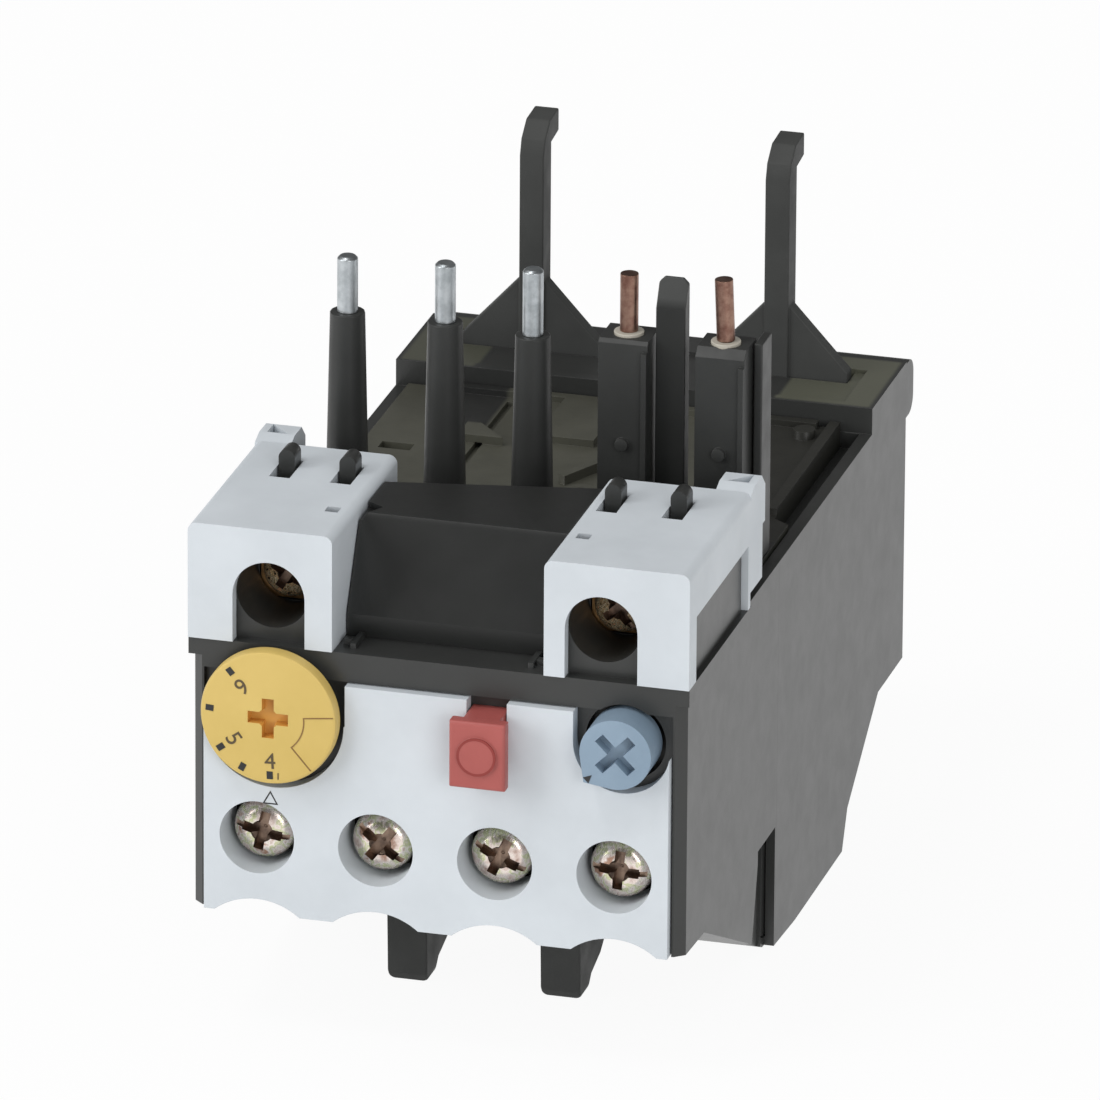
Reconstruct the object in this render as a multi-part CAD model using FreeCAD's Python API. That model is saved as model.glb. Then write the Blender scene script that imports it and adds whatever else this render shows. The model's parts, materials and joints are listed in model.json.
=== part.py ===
"""Thermal overload relay that plugs in under a 45 mm contactor.

Millimetres. X runs left to right, Y from front to back and Z up. The origin is the
middle of the bounding box's base. Inside this script Y = 0 is the front face of the
body; save_all() moves everything back by the half depth as it writes the files.
"""
import FreeCAD, Part
import math
import os

V = FreeCAD.Vector

# --- Body ---------------------------------------------------------------------------
body_w = 45.0            # standard width over the side walls
wall = 1.8               # moulded wall
front_wall = 2.6         # wall behind the cover plate
pole_wall = 1.2          # walls between the poles
edge_z = 12.0            # lower front edge above the resting plane
side_h = 25.4            # side walls above that edge
chin_y = 7.1             # depth of the flat chin
chin_drop = 0.4
ramp_y = 30.9            # end of the sloping belly
ramp_z = 0.5
sole_y0 = 39.0           # flat sole that the body stands on
sole_y1 = 55.9
heel_rise = 3.6          # steep step behind the sole
heel_run = 1.8
tail_y = 68.5            # start of the level tail
tail_z = 10.8
rear_y = 77.4            # rear face
seam_y = 32.0            # joint between front and rear shells
lap = 1.6                # depth of the lap joint at the seam
fit_gap = 0.15           # clearance between parts that fit into each other
run_gap = 0.05           # radial running clearance of shafts and stems
seat_gap = 0.01          # radial gap of pieces that sit tight in each other
flange_over = 0.35       # overhang of the top flange at each side
flange_t = 1.6
flange_y = 21.0          # the flange reaches this far back
corner = 0.9             # chamfer of the upright front corners

# --- Rear block, roll and hooks -----------------------------------------------------
block_y = 64.9           # front of the rear block
block_h = 2.5            # its top above the side walls
trough_y = 66.0          # shallow trough that the hooks stand in
trough_y1 = 74.3
trough_d = 0.4
roll_y = 80.0            # rearmost line of the rounded rear bead
roll_h = 5.3
roll_r = 1.6
hook_x = 11.6            # hooks' distance from the middle plane
hook_w = 2.3
hook_y = 71.6            # front face of the hooks
hook_t = 2.7
hook_seat = 1.2          # the hooks are let into the trough's floor this deep
hook_neck = 46.35        # height above the lower front edge where the nose starts
hook_top = 49.45
hook_nose = 2.5          # reach of the nose behind the shaft
gusset_w = 13.5
gusset_z = 35.1          # apex above the lower front edge
gusset_t = 1.5

# --- Bay and auxiliary terminal blocks ----------------------------------------------
bay_y = 4.1
bay_lip = 2.1            # height of the bay's vertical foot
bay_top = 10.1           # height of the ridge behind the bay
ridge_y0 = 8.4
ridge_y1 = 16.0          # rear edge at its left end
ridge_skew = 3.8         # the rear edge runs back by this much to the right
ridge_nick = 1.6         # step at the ridge's left end
cap_w = 13.2
cap_t = 1.2
cap_h = 10.87
cap_y0 = -0.18
cap_y1 = 20.6
skirt_h = 6.1            # open height under the cap's outer wall
arch_r = 3.3             # arched opening in each cap
arch_right = (5.2, 4.65)     # its centre from the cap's inner wall and above the flange
arch_left = (5.8, 4.5)
slots_right = (2.1, 8.1)   # latch slots from the cap's inner wall
slots_left = (2.95, 8.55)
pit_in = 1.8             # small pit from the cap's inner wall
pit_w = 1.2
pit_y = 5.7
slot_y0 = 12.5
slot_y1 = 17.0
slot_w = 1.9
latch_w = 1.5
latch_t = 2.0
latch_rise = 1.7
ear_y = 25.4
ear_w = 3.3
ear_drop = 4.4
leg_h = 5.1

# --- Front cover plate --------------------------------------------------------------
plate_w = 42.5
plate_h = 22.55
plate_t = 1.5
plate_y = -0.78          # front face
hole_r = 3.42            # screwdriver holes
hole_z = 7.29            # above the lower front edge
hole_pitch = 10.9
collar_t = 0.7
collar_y = 4.5           # rear end of the collars
scallop_rise = 1.4
scallop_w = 7.8

# --- Controls -----------------------------------------------------------------------
dial_side = 7.64         # axis from the side wall
dial_z = 19.4
dial_r = 6.25
dial_y = -2.4
dial_t = 1.5
hub_r = 2.5
cam_r = 3.0
cam_shift = 0.7
cam_t = 2.4
stop_x = 4.66
stop_z = 18.64
stop_w = 5.1
stop_h = 6.3
stop_y = -4.0
stop_t = 1.3
mark_r = 1.75            # raised disc on the button
mark_rise = 0.2
stem_w = 3.35
stem_h = 4.7
stem_drop = 0.6          # the stem sits above the middle of the head by this much
stem_end = 8.0
spigot_l = 2.8           # spring spigot behind the stem
knob_side = 5.56         # axis from the side wall
knob_z = 19.75
knob_r = 3.25
knob_y = -2.9
knob_lip = 1.6           # thickness of the part that carries the pointer
knob_t = 3.9
pointer_r = 4.05         # reach of the pointer from the knob's axis
knob_recess = 4.4        # round cut-out of the plate about the knob
well_r = 3.65
well_y = 3.2
plunger_r = 1.8
spigot_r = 1.2
collar_r = 2.7
press = 1.8              # travel of both buttons
spring_wall = 0.4
rib_y = 14.4             # rear rib that the button springs bear on
rib_t = 1.2

# --- Terminals ----------------------------------------------------------------------
screw_r = 2.85
screw_y = 0.7            # front of the screw heads
screw_head = 2.2
shank_r = 1.7
screw_l = 7.8
cage_w = 6.8
cage_t = 1.0
cage_y = 5.6
cage_d = 8.6
cage_h = 7.4
strip_t = 1.0
strip_w = 4.0
entry_w = 5.0            # wire entry under each terminal
entry_d = 4.7
aux_screw_y = 5.6
aux_screw_r = 2.5
aux_screw_l = 6.0
aux_clamp = 6.0

# --- Contact pins, wires and their holders ------------------------------------------
row_y = 30.0             # the pins and wires stand in one row
pin_x = (-17.0, -7.95, 0.15)
pin_r = 0.93
pin_tip = (51.1, 51.4, 51.65)
pin_nose = 0.25          # chamfer at the tip
pin_step = 0.2           # the pin is thinner inside its sleeve
sleeve_top = (45.8, 45.8, 45.4)
sleeve_r0 = 2.0          # across the corners at its foot
sleeve_r1 = 1.58
sleeve_sides = 16
wire_x = (9.0, 17.9)
wire_r = 0.82
wire_step = 0.17         # the wire is thinner where the collar grips it
wire_tip = (52.15, 52.5)
wire_lean = (0.0, -2.5)  # degrees from upright above each holder
collar_top = 46.75
collar_out = 1.35
holder_w = 4.55
holder_t = 2.0           # wall behind the row's middle plane
holder_top = 46.5
holder_slope = (0.35, 0.8)   # chamfer of the upper front edge
holder_rib = 0.5
nub_z = 10.3             # small nub on a holder, above the deck
nub_r = 0.6
tab_x = 13.0
tab_w = 2.7
tab_t = 1.6
tab_top = 52.0
tab_slope = 2.6          # height of its sloped front
tab_corner = 0.5
fin_x = 20.75
fin_t = 0.8
fin_d = 3.3
fin_y = 30.4

# --- Deck over the heater chambers --------------------------------------------------
deck_y0 = 20.9
deck_jog = 40.0
deck_y1 = 64.6
deck_rim = 1.3           # side wall beside the wide part
deck_step = 1.6          # the right side steps in by this much behind the jog
deck_t = 1.9
deck_rise = 0.4          # deck above the side walls
pocket_floor = 1.5       # the deck sits this deep in the shells' top
ledge = 2.0              # width of the ledge that carries the deck

# --- Heaters and trip mechanism -----------------------------------------------------
pole_x = (-hole_pitch * 1.5, -hole_pitch * 0.5, hole_pitch * 0.5)
strip_y0 = 36.0
bimetal_w = 5.0
bimetal_t = 0.8
bimetal_top = 33.0
bimetal_low = 8.0
winding_t = 1.1
winding_z0 = 13.0
winding_z1 = 28.0
winding_turns = 7
travel = 1.5             # slide travel that trips the relay
slide_gap = 0.3
slide_z = 3.0
slide_h = 3.0
slide_t = 2.4
finger_top = 10.5
lever_x = 15.6
lever_z = 19.0
lever_t = 2.0
guide_t = 1.6            # rails that the slides run on
partition_y = 44.5       # wall that holds the lever's pivot
partition_t = 1.5
rocker_x = 13.2
rocker_y = 26.5
rocker_z0 = 28.6
rocker_z1 = 32.4
rocker_tip = 17.4
rocker_tail = 34.2
pivot_r = 0.8
rivet_r = 0.9
rivet_l = 3.2            # contact rivet through the rocker
open_gap = 1.6           # gap of the open contact

# --- Feet ---------------------------------------------------------------------------
foot_x = 7.1
foot_w = 3.7
foot_y = 15.0
foot_l = 9.6
foot_tread = 2.2         # length of the flat that it stands on

# --- Derived levels and places ------------------------------------------------------
half_w = body_w / 2
side_z = edge_z + side_h
ceiling = side_z - wall
block_z = side_z + block_h
bay_z = side_z + bay_top
cap_z = side_z + cap_h
dial_x = dial_side - half_w
knob_x = half_w - knob_side
cap_out = half_w + flange_over
cap_in = cap_out - cap_w
bay_half = cap_in - fit_gap
deck_wide = half_w - deck_rim
deck_narrow = deck_wide - deck_step
aux_x = (-cap_in - arch_left[0], cap_in + arch_right[0])
aux_z = (side_z + arch_left[1], side_z + arch_right[1])
strip_level = ceiling - strip_t - 0.1
deck_z = side_z + deck_rise
pocket_z = side_z - pocket_floor
terminal_x = tuple((i - 1.5) * hole_pitch for i in range(4))
terminal_z = edge_z + hole_z
block_top = terminal_z + 5.6
stop_axis = edge_z + stop_z
knob_axis = edge_z + knob_z
dial_axis = edge_z + dial_z
mid_y = (stop_y - mark_rise + roll_y) / 2
slide_front = strip_y0 - 0.6 - slide_t
slide_rear = strip_y0 + bimetal_w + 0.6


# --- Helpers ------------------------------------------------------------------------
def box(x0, x1, y0, y1, z0, z1):
    """Box between two corners."""
    return Part.makeBox(x1 - x0, y1 - y0, z1 - z0, V(x0, y0, z0))


def slab(x, w, y0, y1, z0, z1):
    """Box centred on x with width w."""
    return box(x - w / 2, x + w / 2, y0, y1, z0, z1)


def rod_y(x, z, r, y0, y1):
    """Cylinder along Y."""
    return Part.makeCylinder(r, y1 - y0, V(x, y0, z), V(0, 1, 0))


def rod_z(x, y, r, z0, z1):
    """Cylinder along Z."""
    return Part.makeCylinder(r, z1 - z0, V(x, y, z0), V(0, 0, 1))


def stick_y(x, z, r, y0, y1, sides=12):
    """Many-sided rod along Y, for shanks and holes that nothing turns in."""
    return front_prism(ring_points(x, z, r, sides), y0, y1)


def ring_points(a, b, r, sides):
    """Corners of a regular polygon about (a, b)."""
    turns = [2 * math.pi * (i + 0.5) / sides for i in range(sides)]
    return [(a + r * math.cos(t), b + r * math.sin(t)) for t in turns]


def side_face(points, x):
    """Face at x from (y, z) points."""
    wire = Part.makePolygon([V(x, y, z) for y, z in points + points[:1]])
    return Part.Face(wire)


def side_prism(points, x0, x1):
    """Solid between x0 and x1 with an outline of (y, z) points."""
    return side_face(points, x0).extrude(V(x1 - x0, 0, 0))


def front_prism(points, y0, y1):
    """Solid between y0 and y1 with an outline of (x, z) points."""
    wire = Part.makePolygon([V(x, y0, z) for x, z in points + points[:1]])
    return Part.Face(wire).extrude(V(0, y1 - y0, 0))


def plan_prism(points, z0, z1):
    """Solid between z0 and z1 with an outline of (x, y) points."""
    wire = Part.makePolygon([V(x, y, z0) for x, y in points + points[:1]])
    return Part.Face(wire).extrude(V(0, 0, z1 - z0))


def join(shapes):
    """One solid from several that touch or overlap."""
    return shapes[0].multiFuse(shapes[1:]).removeSplitter()


def cut_all(shape, tools):
    """A shape less several others."""
    return shape.cut(Part.makeCompound(tools))


def group(shapes):
    """Separate solids that share one node."""
    return Part.makeCompound(shapes)


def mirror_x(shape):
    """The shape mirrored in the middle plane."""
    return shape.mirror(V(0, 0, 0), V(1, 0, 0))


def round_edges(shape, radius, chosen):
    """Fillet the edges for which chosen(edge) holds."""
    edges = [edge for edge in shape.Edges if chosen(edge)]
    return shape.makeFillet(radius, edges)


def runs_along(edge, axis):
    """True for a straight edge parallel to one axis."""
    if len(edge.Vertexes) != 2 or edge.Curve.TypeId != "Part::GeomLine":
        return False
    return abs(edge.Curve.Direction.dot(axis)) > 0.999


# --- Shells -------------------------------------------------------------------------
def body_outline():
    """Side outline of the body without the rear block, as (y, z) points."""
    return [
        (0, edge_z),
        (chin_y, edge_z - chin_drop),
        (ramp_y, ramp_z),
        (sole_y0, 0),
        (sole_y1, 0),
        (sole_y1 + heel_run, heel_rise),
        (tail_y, tail_z),
        (rear_y, tail_z),
        (rear_y, side_z),
        (0, side_z),
    ]


def body_solid(inset):
    """The body's solid form, shrunk on every side by inset."""
    face = side_face(body_outline(), -half_w + inset)
    if inset:
        face = face.makeOffset2D(-inset, 2)
    return face.extrude(V(body_w - 2 * inset, 0, 0))


def full_slab(y0, y1):
    """Slab of space between two depths, wider and taller than the part."""
    return box(-body_w, body_w, y0, y1, -edge_z, 3 * side_z)


def deck_opening():
    """Pocket for the deck and the opening under it."""
    inner = deck_wide - ledge
    reach = deck_wide + fit_gap
    pocket = box(-reach, reach, deck_y0 - fit_gap, deck_y1 + fit_gap, pocket_z, side_z + block_h)
    hole = box(-inner, inner, deck_y0 + ledge, deck_y1 - ledge, ceiling - wall, side_z)
    return [pocket, hole]


def pole_walls(y0, y1, z0, z1):
    """Walls between the poles over a stretch of depth and height."""
    plates = [slab(x, pole_wall, y0, y1, z0, z1) for x in (-hole_pitch, 0, hole_pitch)]
    return [plate.common(body_solid(wall / 2)) for plate in plates]


def front_cavity():
    """Hollow of the front shell."""
    return body_solid(wall).common(full_slab(front_wall, seam_y + 1))


def terminal_block():
    """Solid moulding round the four main terminals."""
    block = box(-half_w + wall / 2, half_w - wall / 2, wall, rib_y, 0, block_top)
    return block.common(body_solid(wall / 2))


def terminal_pockets():
    """Collar bores, cage pockets and wire entries of the main terminals."""
    tools = []
    for x in terminal_x:
        tools.append(rod_y(x, terminal_z, hole_r + collar_t + fit_gap, -1, cage_y))
        low = terminal_z - cage_h / 2 - fit_gap
        tools.append(slab(x, cage_w + 2 * fit_gap, cage_y - fit_gap, rib_y + 1, low, low + cage_h + 2 * fit_gap))
        entry_y = cage_y + 1.8 * cage_t
        tools.append(slab(x, entry_w, entry_y, entry_y + entry_d, 0, terminal_z))
        slot_y = cage_y + cage_d - cage_t - strip_t - fit_gap
        tools.append(slab(x, strip_w + 2 * fit_gap, slot_y, rib_y + 1, terminal_z, block_top + 1))
    return tools


def spring_rib():
    """Upright rib behind the two buttons, notched for the terminal strips."""
    rib = box(0.6, half_w - wall / 2, rib_y, rib_y + rib_t, terminal_z, ceiling - fit_gap - strip_t)
    notch_w = strip_w + 2 * fit_gap
    notch_z = block_top + 2 * (strip_t + fit_gap)
    notches = [slab(x, notch_w, rib_y - 1, rib_y + 2, terminal_z - 5, notch_z) for x in terminal_x[2:]]
    return cut_all(rib, notches)


def aux_block(arch, slots):
    """Black terminal block that fills one cap; built on the right."""
    arch_x = cap_in + arch[0]
    zc = side_z + arch[1]
    x0 = cap_in + cap_t + fit_gap
    x1 = cap_out - cap_t - fit_gap
    y0 = cap_y0 + cap_t + fit_gap
    y1 = cap_y1 - fit_gap
    top = cap_z - cap_t - fit_gap
    block = box(x0, x1, y0, y1, side_z - 1, top)
    step = box(x0, half_w - fit_gap, y0 + cap_t, y1 - cap_t, side_z - 1, side_z + skirt_h - fit_gap)
    solid = block.fuse(step)
    foot = slot_y1 - fit_gap - latch_t
    for x in [cap_in + slot for slot in slots]:
        post = slab(x, latch_w, foot, foot + latch_t, top - 1, cap_z + latch_rise - latch_w / 2)
        crown = Part.makeCylinder(latch_w / 2, latch_t, V(x, foot, cap_z + latch_rise - latch_w / 2), V(0, 1, 0))
        solid = solid.multiFuse([post, crown])
    cavity = box(x0 + wall, x1 - wall, aux_screw_y + 6.6, y1 - wall, ceiling - 1, top - wall)
    bore = rod_y(arch_x, zc, arch_r, y0 - 1, aux_screw_y + 2.2)
    shank = stick_y(arch_x, zc, shank_r + 2 * fit_gap, aux_screw_y, aux_screw_y + aux_screw_l + wall)
    half = aux_clamp / 2 + fit_gap
    clamp = slab(arch_x, 2 * half, aux_screw_y + 2, aux_screw_y + 5, zc - half, zc + half)
    slot_front = aux_screw_y + screw_head + strip_t - fit_gap
    strip_slot = slab(arch_x, strip_w + 2 * fit_gap, slot_front, aux_screw_y + 5, ceiling - 2, zc)
    return solid.removeSplitter(), [cavity, bore, shank, clamp, strip_slot]


def bay_ridge():
    """Ridge behind the open bay, hollow underneath."""
    outline = [
        (bay_y, side_z - 1),
        (bay_y, side_z + bay_lip),
        (ridge_y0 - 0.3, bay_z - 0.4),
        (ridge_y0, bay_z),
        (ridge_y1 + ridge_skew, bay_z),
        (ridge_y1 + ridge_skew, side_z - 1),
    ]
    ridge = side_prism(outline, -bay_half, bay_half)
    behind = plan_prism([(-bay_half - 1, ridge_y1), (-bay_half, ridge_y1), (bay_half, ridge_y1 + ridge_skew),
                         (bay_half + 1, deck_y0), (-bay_half - 1, deck_y0)], side_z, bay_z + 1)
    corner_points = [(-bay_half - 1, ridge_y0 - 1), (-bay_half - 1, ridge_y0 + 2 * ridge_nick),
                     (-bay_half + ridge_nick, ridge_y0 + ridge_nick), (-bay_half, ridge_y0 - 1)]
    nick = plan_prism(corner_points, bay_z - 0.6, bay_z + 1)
    y0 = bay_y + 2 * wall
    y1 = ridge_y1 - wall
    hollow = [(y0, ceiling - 1), (y0, side_z + bay_lip), (ridge_y0 + wall, bay_z - wall),
              (y1, bay_z - wall), (y1, ceiling - 1)]
    return cut_all(ridge, [nick, behind]), side_prism(hollow, -bay_half + wall, bay_half - wall)


def bay_trim():
    """Small ribs and corner bosses on the bay floor."""
    ribs = [slab(s * (bay_half - 1.4), 0.5, 1.2, bay_y + 0.5, side_z - 0.5, side_z + 0.5) for s in (-1, 1)]
    bosses = [slab(s * (bay_half - 0.7), 0.8, 2.0, 2.8, side_z - 0.5, side_z + 0.5) for s in (-1, 1)]
    return ribs + bosses


def knob_cup():
    """Cup behind the front wall that the knob sinks into."""
    return rod_y(knob_x, knob_axis, well_r + wall * 0.6, front_wall - 1, well_y + wall * 0.7)


def front_openings():
    """Openings in the front wall for the plate and the controls."""
    pocket_y = plate_y + plate_t
    window_w = stem_w + 2 * run_gap
    stem_z = stop_axis + stem_drop
    return [
        box(-plate_w / 2 - fit_gap, plate_w / 2 + fit_gap, -2, pocket_y, 0, edge_z + plate_h + fit_gap),
        rod_y(dial_x, dial_axis, hub_r + run_gap, -2, front_wall + 1),
        slab(stop_x, window_w, -2, front_wall + 1, stem_z - stem_h / 2 - run_gap, stem_z + stem_h / 2 + run_gap),
        rod_y(knob_x, knob_axis, well_r, -2, well_y),
        rod_y(knob_x, knob_axis, plunger_r + run_gap, 0, well_y + wall),
    ]


def chin_scallops():
    """Hollows under the four terminals that follow the plate's lower edge."""
    radius = (scallop_w ** 2 / 4 + scallop_rise ** 2) / (2 * scallop_rise)
    centre_z = edge_z + scallop_rise - radius
    return [rod_y(x, centre_z, radius, -1, chin_y) for x in terminal_x]


def corner_chamfers():
    """Chamfers of the two upright front corners below the flange."""
    x0 = half_w - corner
    x1 = half_w + 1
    right = plan_prism([(x0, -1), (x1, -1), (x1, corner + 1), (x0, 0)], 0, side_z - flange_t)
    return [right, mirror_x(right)]


def side_recesses():
    """Finger slot and slanted panel on each side of the belly, at the seam."""
    slot_y = seam_y - 6.4
    deep = box(half_w - 1.2, half_w + 1, slot_y, seam_y - lap - 0.2, -1, edge_z)
    shallow = box(half_w - 0.9, half_w + 1, slot_y, seam_y - 0.4, -1, edge_z)
    panel_z = edge_z - 1.2
    slant = [(half_w, panel_z), (half_w + 1, panel_z), (half_w + 1, -1), (half_w - 0.7, -1)]
    panel = front_prism(slant, slot_y - 10.3, slot_y)
    right = [deep, shallow, panel]
    return right + [mirror_x(tool) for tool in right]


def front_housing():
    """Front shell with flange, terminal block, bay and auxiliary blocks."""
    shell = body_solid(0).common(full_slab(0, seam_y)).cut(front_cavity())
    flange = box(-cap_out, cap_out, 0, flange_y, side_z - flange_t, side_z)
    right, right_cuts = aux_block(arch_right, slots_right)
    left, left_cuts = aux_block(arch_left, slots_left)
    ridge, ridge_hollow = bay_ridge()
    solids = [shell, flange, terminal_block(), spring_rib(), knob_cup(), right, mirror_x(left), ridge]
    solids += bay_trim() + pole_walls(rib_y, seam_y - lap, 0, block_top)
    body = join(solids)
    lap_ring = body_solid(wall / 2 - fit_gap / 2).cut(body_solid(wall + 1))
    lap_ring = lap_ring.common(full_slab(seam_y - lap - fit_gap, seam_y + 1))
    cuts = [ridge_hollow, lap_ring] + right_cuts + [mirror_x(tool) for tool in left_cuts]
    cuts += terminal_pockets() + front_openings() + deck_opening() + side_recesses()
    return cut_all(body, cuts + corner_chamfers() + chin_scallops())


def rear_block():
    """Raised block at the back with its trough and rounded bead, and the hooks' seats."""
    block = box(-half_w, half_w, block_y, rear_y, side_z - 1, block_z)
    floor = block_z - trough_d
    trough = box(-deck_narrow, deck_narrow, trough_y, trough_y1, floor, block_z + 1)
    bead = box(-half_w, half_w, rear_y - 1.5, roll_y, block_z - 0.2 - roll_h, block_z - 0.2)
    bead = round_edges(bead, roll_r, lambda e: runs_along(e, V(1, 0, 0)) and e.BoundBox.YMax > roll_y - 0.1)
    seats = [slab(s * hook_x, gusset_w + 2 * run_gap, hook_y - run_gap, hook_y + hook_t + run_gap,
                  floor - hook_seat, floor + 1) for s in (-1, 1)]
    return block.fuse(bead).cut(trough), seats


def rear_housing():
    """Rear shell with the heater chambers and the rear block."""
    shell = body_solid(0).common(full_slab(seam_y, rear_y + 1)).cut(body_solid(wall))
    ring = body_solid(wall / 2 + fit_gap / 2).cut(body_solid(wall)).common(full_slab(seam_y - lap, seam_y + 1))
    partition_end = partition_y + partition_t
    partition = slab(lever_x, 2 * (half_w - wall / 2 - lever_x), partition_y, partition_end, 0, ceiling - wall)
    partition = partition.common(body_solid(wall / 2))
    wall_top = bimetal_top - fit_gap
    walls = pole_walls(rocker_tail + slide_gap, block_y, finger_top + wall, wall_top)
    walls += pole_walls(partition_end, block_y, 0, wall_top)
    guides = [box(pole_x[0], pole_x[2] + 4, y, y + guide_t, wall / 2, slide_z - slide_gap)
              for y in (slide_front + 0.4, slide_rear + 0.4)]
    block, seats = rear_block()
    body = join([shell, ring, block, partition] + walls + guides)
    bore = rod_y(lever_x, lever_z, pivot_r + seat_gap, partition_y - 1, partition_end + 1)
    return cut_all(body, deck_opening() + seats + [bore])


# --- Front plate and caps -----------------------------------------------------------
def plate_outline():
    """Front outline of the cover plate with its scalloped lower edge."""
    x1 = plate_w / 2
    top = edge_z + plate_h
    wire = [V(-x1, 0, edge_z), V(-x1, 0, top), V(x1, 0, top), V(x1, 0, edge_z)]
    edges = [Part.LineSegment(a, b).toShape() for a, b in zip(wire[:-1], wire[1:])]
    place = x1
    for x in reversed(terminal_x):
        start = V(x + scallop_w / 2, 0, edge_z)
        end = V(x - scallop_w / 2, 0, edge_z)
        edges.append(Part.LineSegment(V(place, 0, edge_z), start).toShape())
        edges.append(Part.Arc(start, V(x, 0, edge_z + scallop_rise), end).toShape())
        place = end.x
    edges.append(Part.LineSegment(V(place, 0, edge_z), V(-x1, 0, edge_z)).toShape())
    return Part.Wire(edges)


def front_cover_plate():
    """Light plate with four collared holes and cut-outs for the controls."""
    plate = Part.Face(plate_outline()).extrude(V(0, plate_t, 0))
    plate.translate(V(0, plate_y, 0))
    collars = [rod_y(x, terminal_z, hole_r + collar_t, plate_y + 0.5, collar_y) for x in terminal_x]
    top = edge_z + plate_h + 1
    side = plate_w / 2 + 1
    notch_w = stem_w + 2 * fit_gap
    tools = [rod_y(x, terminal_z, hole_r, plate_y - 1, collar_y + 1) for x in terminal_x]
    tools.append(box(-side, dial_x + dial_r + 0.3, -3, 3, dial_axis - 0.7, top))
    tools.append(rod_y(dial_x, dial_axis - 0.7, dial_r + 0.2, -3, 3))
    tools.append(slab(stop_x, notch_w, -3, 3, stop_axis + stem_drop - stem_h / 2 - fit_gap, top))
    tools.append(box(knob_x - knob_recess, side, -3, 3, knob_axis, top))
    tools.append(rod_y(knob_x, knob_axis, knob_recess, -3, 3))
    return cut_all(join([plate] + collars), tools)


def cap_shell(arch, slots):
    """Finger-safe cap over one auxiliary block; built on the right."""
    arch_x = cap_in + arch[0]
    zc = side_z + arch[1]
    outer = box(cap_in, cap_out, cap_y0, cap_y1, side_z, cap_z)
    outer = round_edges(outer, 0.8, lambda e: e.BoundBox.ZMin > cap_z - 0.1 and not runs_along(e, V(1, 0, 0)))
    inner = box(cap_in + cap_t, cap_out - cap_t, cap_y0 + cap_t, cap_y1 + 1, side_z - 1, cap_z - cap_t)
    skirt = box(cap_out - cap_t - 1, cap_out + 1, cap_y0 + 2.4, cap_y1 - 0.8, side_z - 1, side_z + skirt_h)
    crown = rod_y(arch_x, zc, arch_r, cap_y0 - 1, cap_y0 + cap_t + 1)
    gate = slab(arch_x, 2 * arch_r, cap_y0 - 1, cap_y0 + cap_t + 1, side_z - 1, zc)
    holes = [slab(cap_in + slot, slot_w, slot_y0, slot_y1, cap_z - 2 * cap_t, cap_z + 1) for slot in slots]
    pit = slab(cap_in + pit_in, pit_w, pit_y, pit_y + pit_w, cap_z - 0.9, cap_z + 1)
    return cut_all(outer, [inner, skirt, crown, gate, pit] + holes)


def cap_ear():
    """Ear and leg at the rear outer corner of a cap; built on the right."""
    x0 = cap_out - ear_w
    outline = [
        (cap_y1, cap_z - ear_drop),
        (ear_y, cap_z - ear_drop),
        (ear_y, cap_z - 0.9),
        (ear_y - 1.2, cap_z + 0.3),
        (cap_y1 + 1.4, cap_z + 0.3),
        (cap_y1, cap_z - 0.2),
    ]
    ear = side_prism(outline, x0, cap_out)
    pit = plan_prism([(x0 + 0.7, cap_y1 + 1.6), (cap_out - 0.7, cap_y1 + 1.6), (cap_out - 0.7, ear_y - 1.2)],
                     cap_z - 1.0, cap_z + 1)
    leg = box(x0 + 0.6, cap_out, cap_y1, ear_y - 0.8, cap_z - ear_drop - leg_h, cap_z - ear_drop + 0.5)
    return ear.cut(pit), leg


def terminal_cap(arch, slots):
    """Whole cap, built on the right."""
    ear, leg = cap_ear()
    return join([cap_shell(arch, slots), ear, leg])


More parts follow.
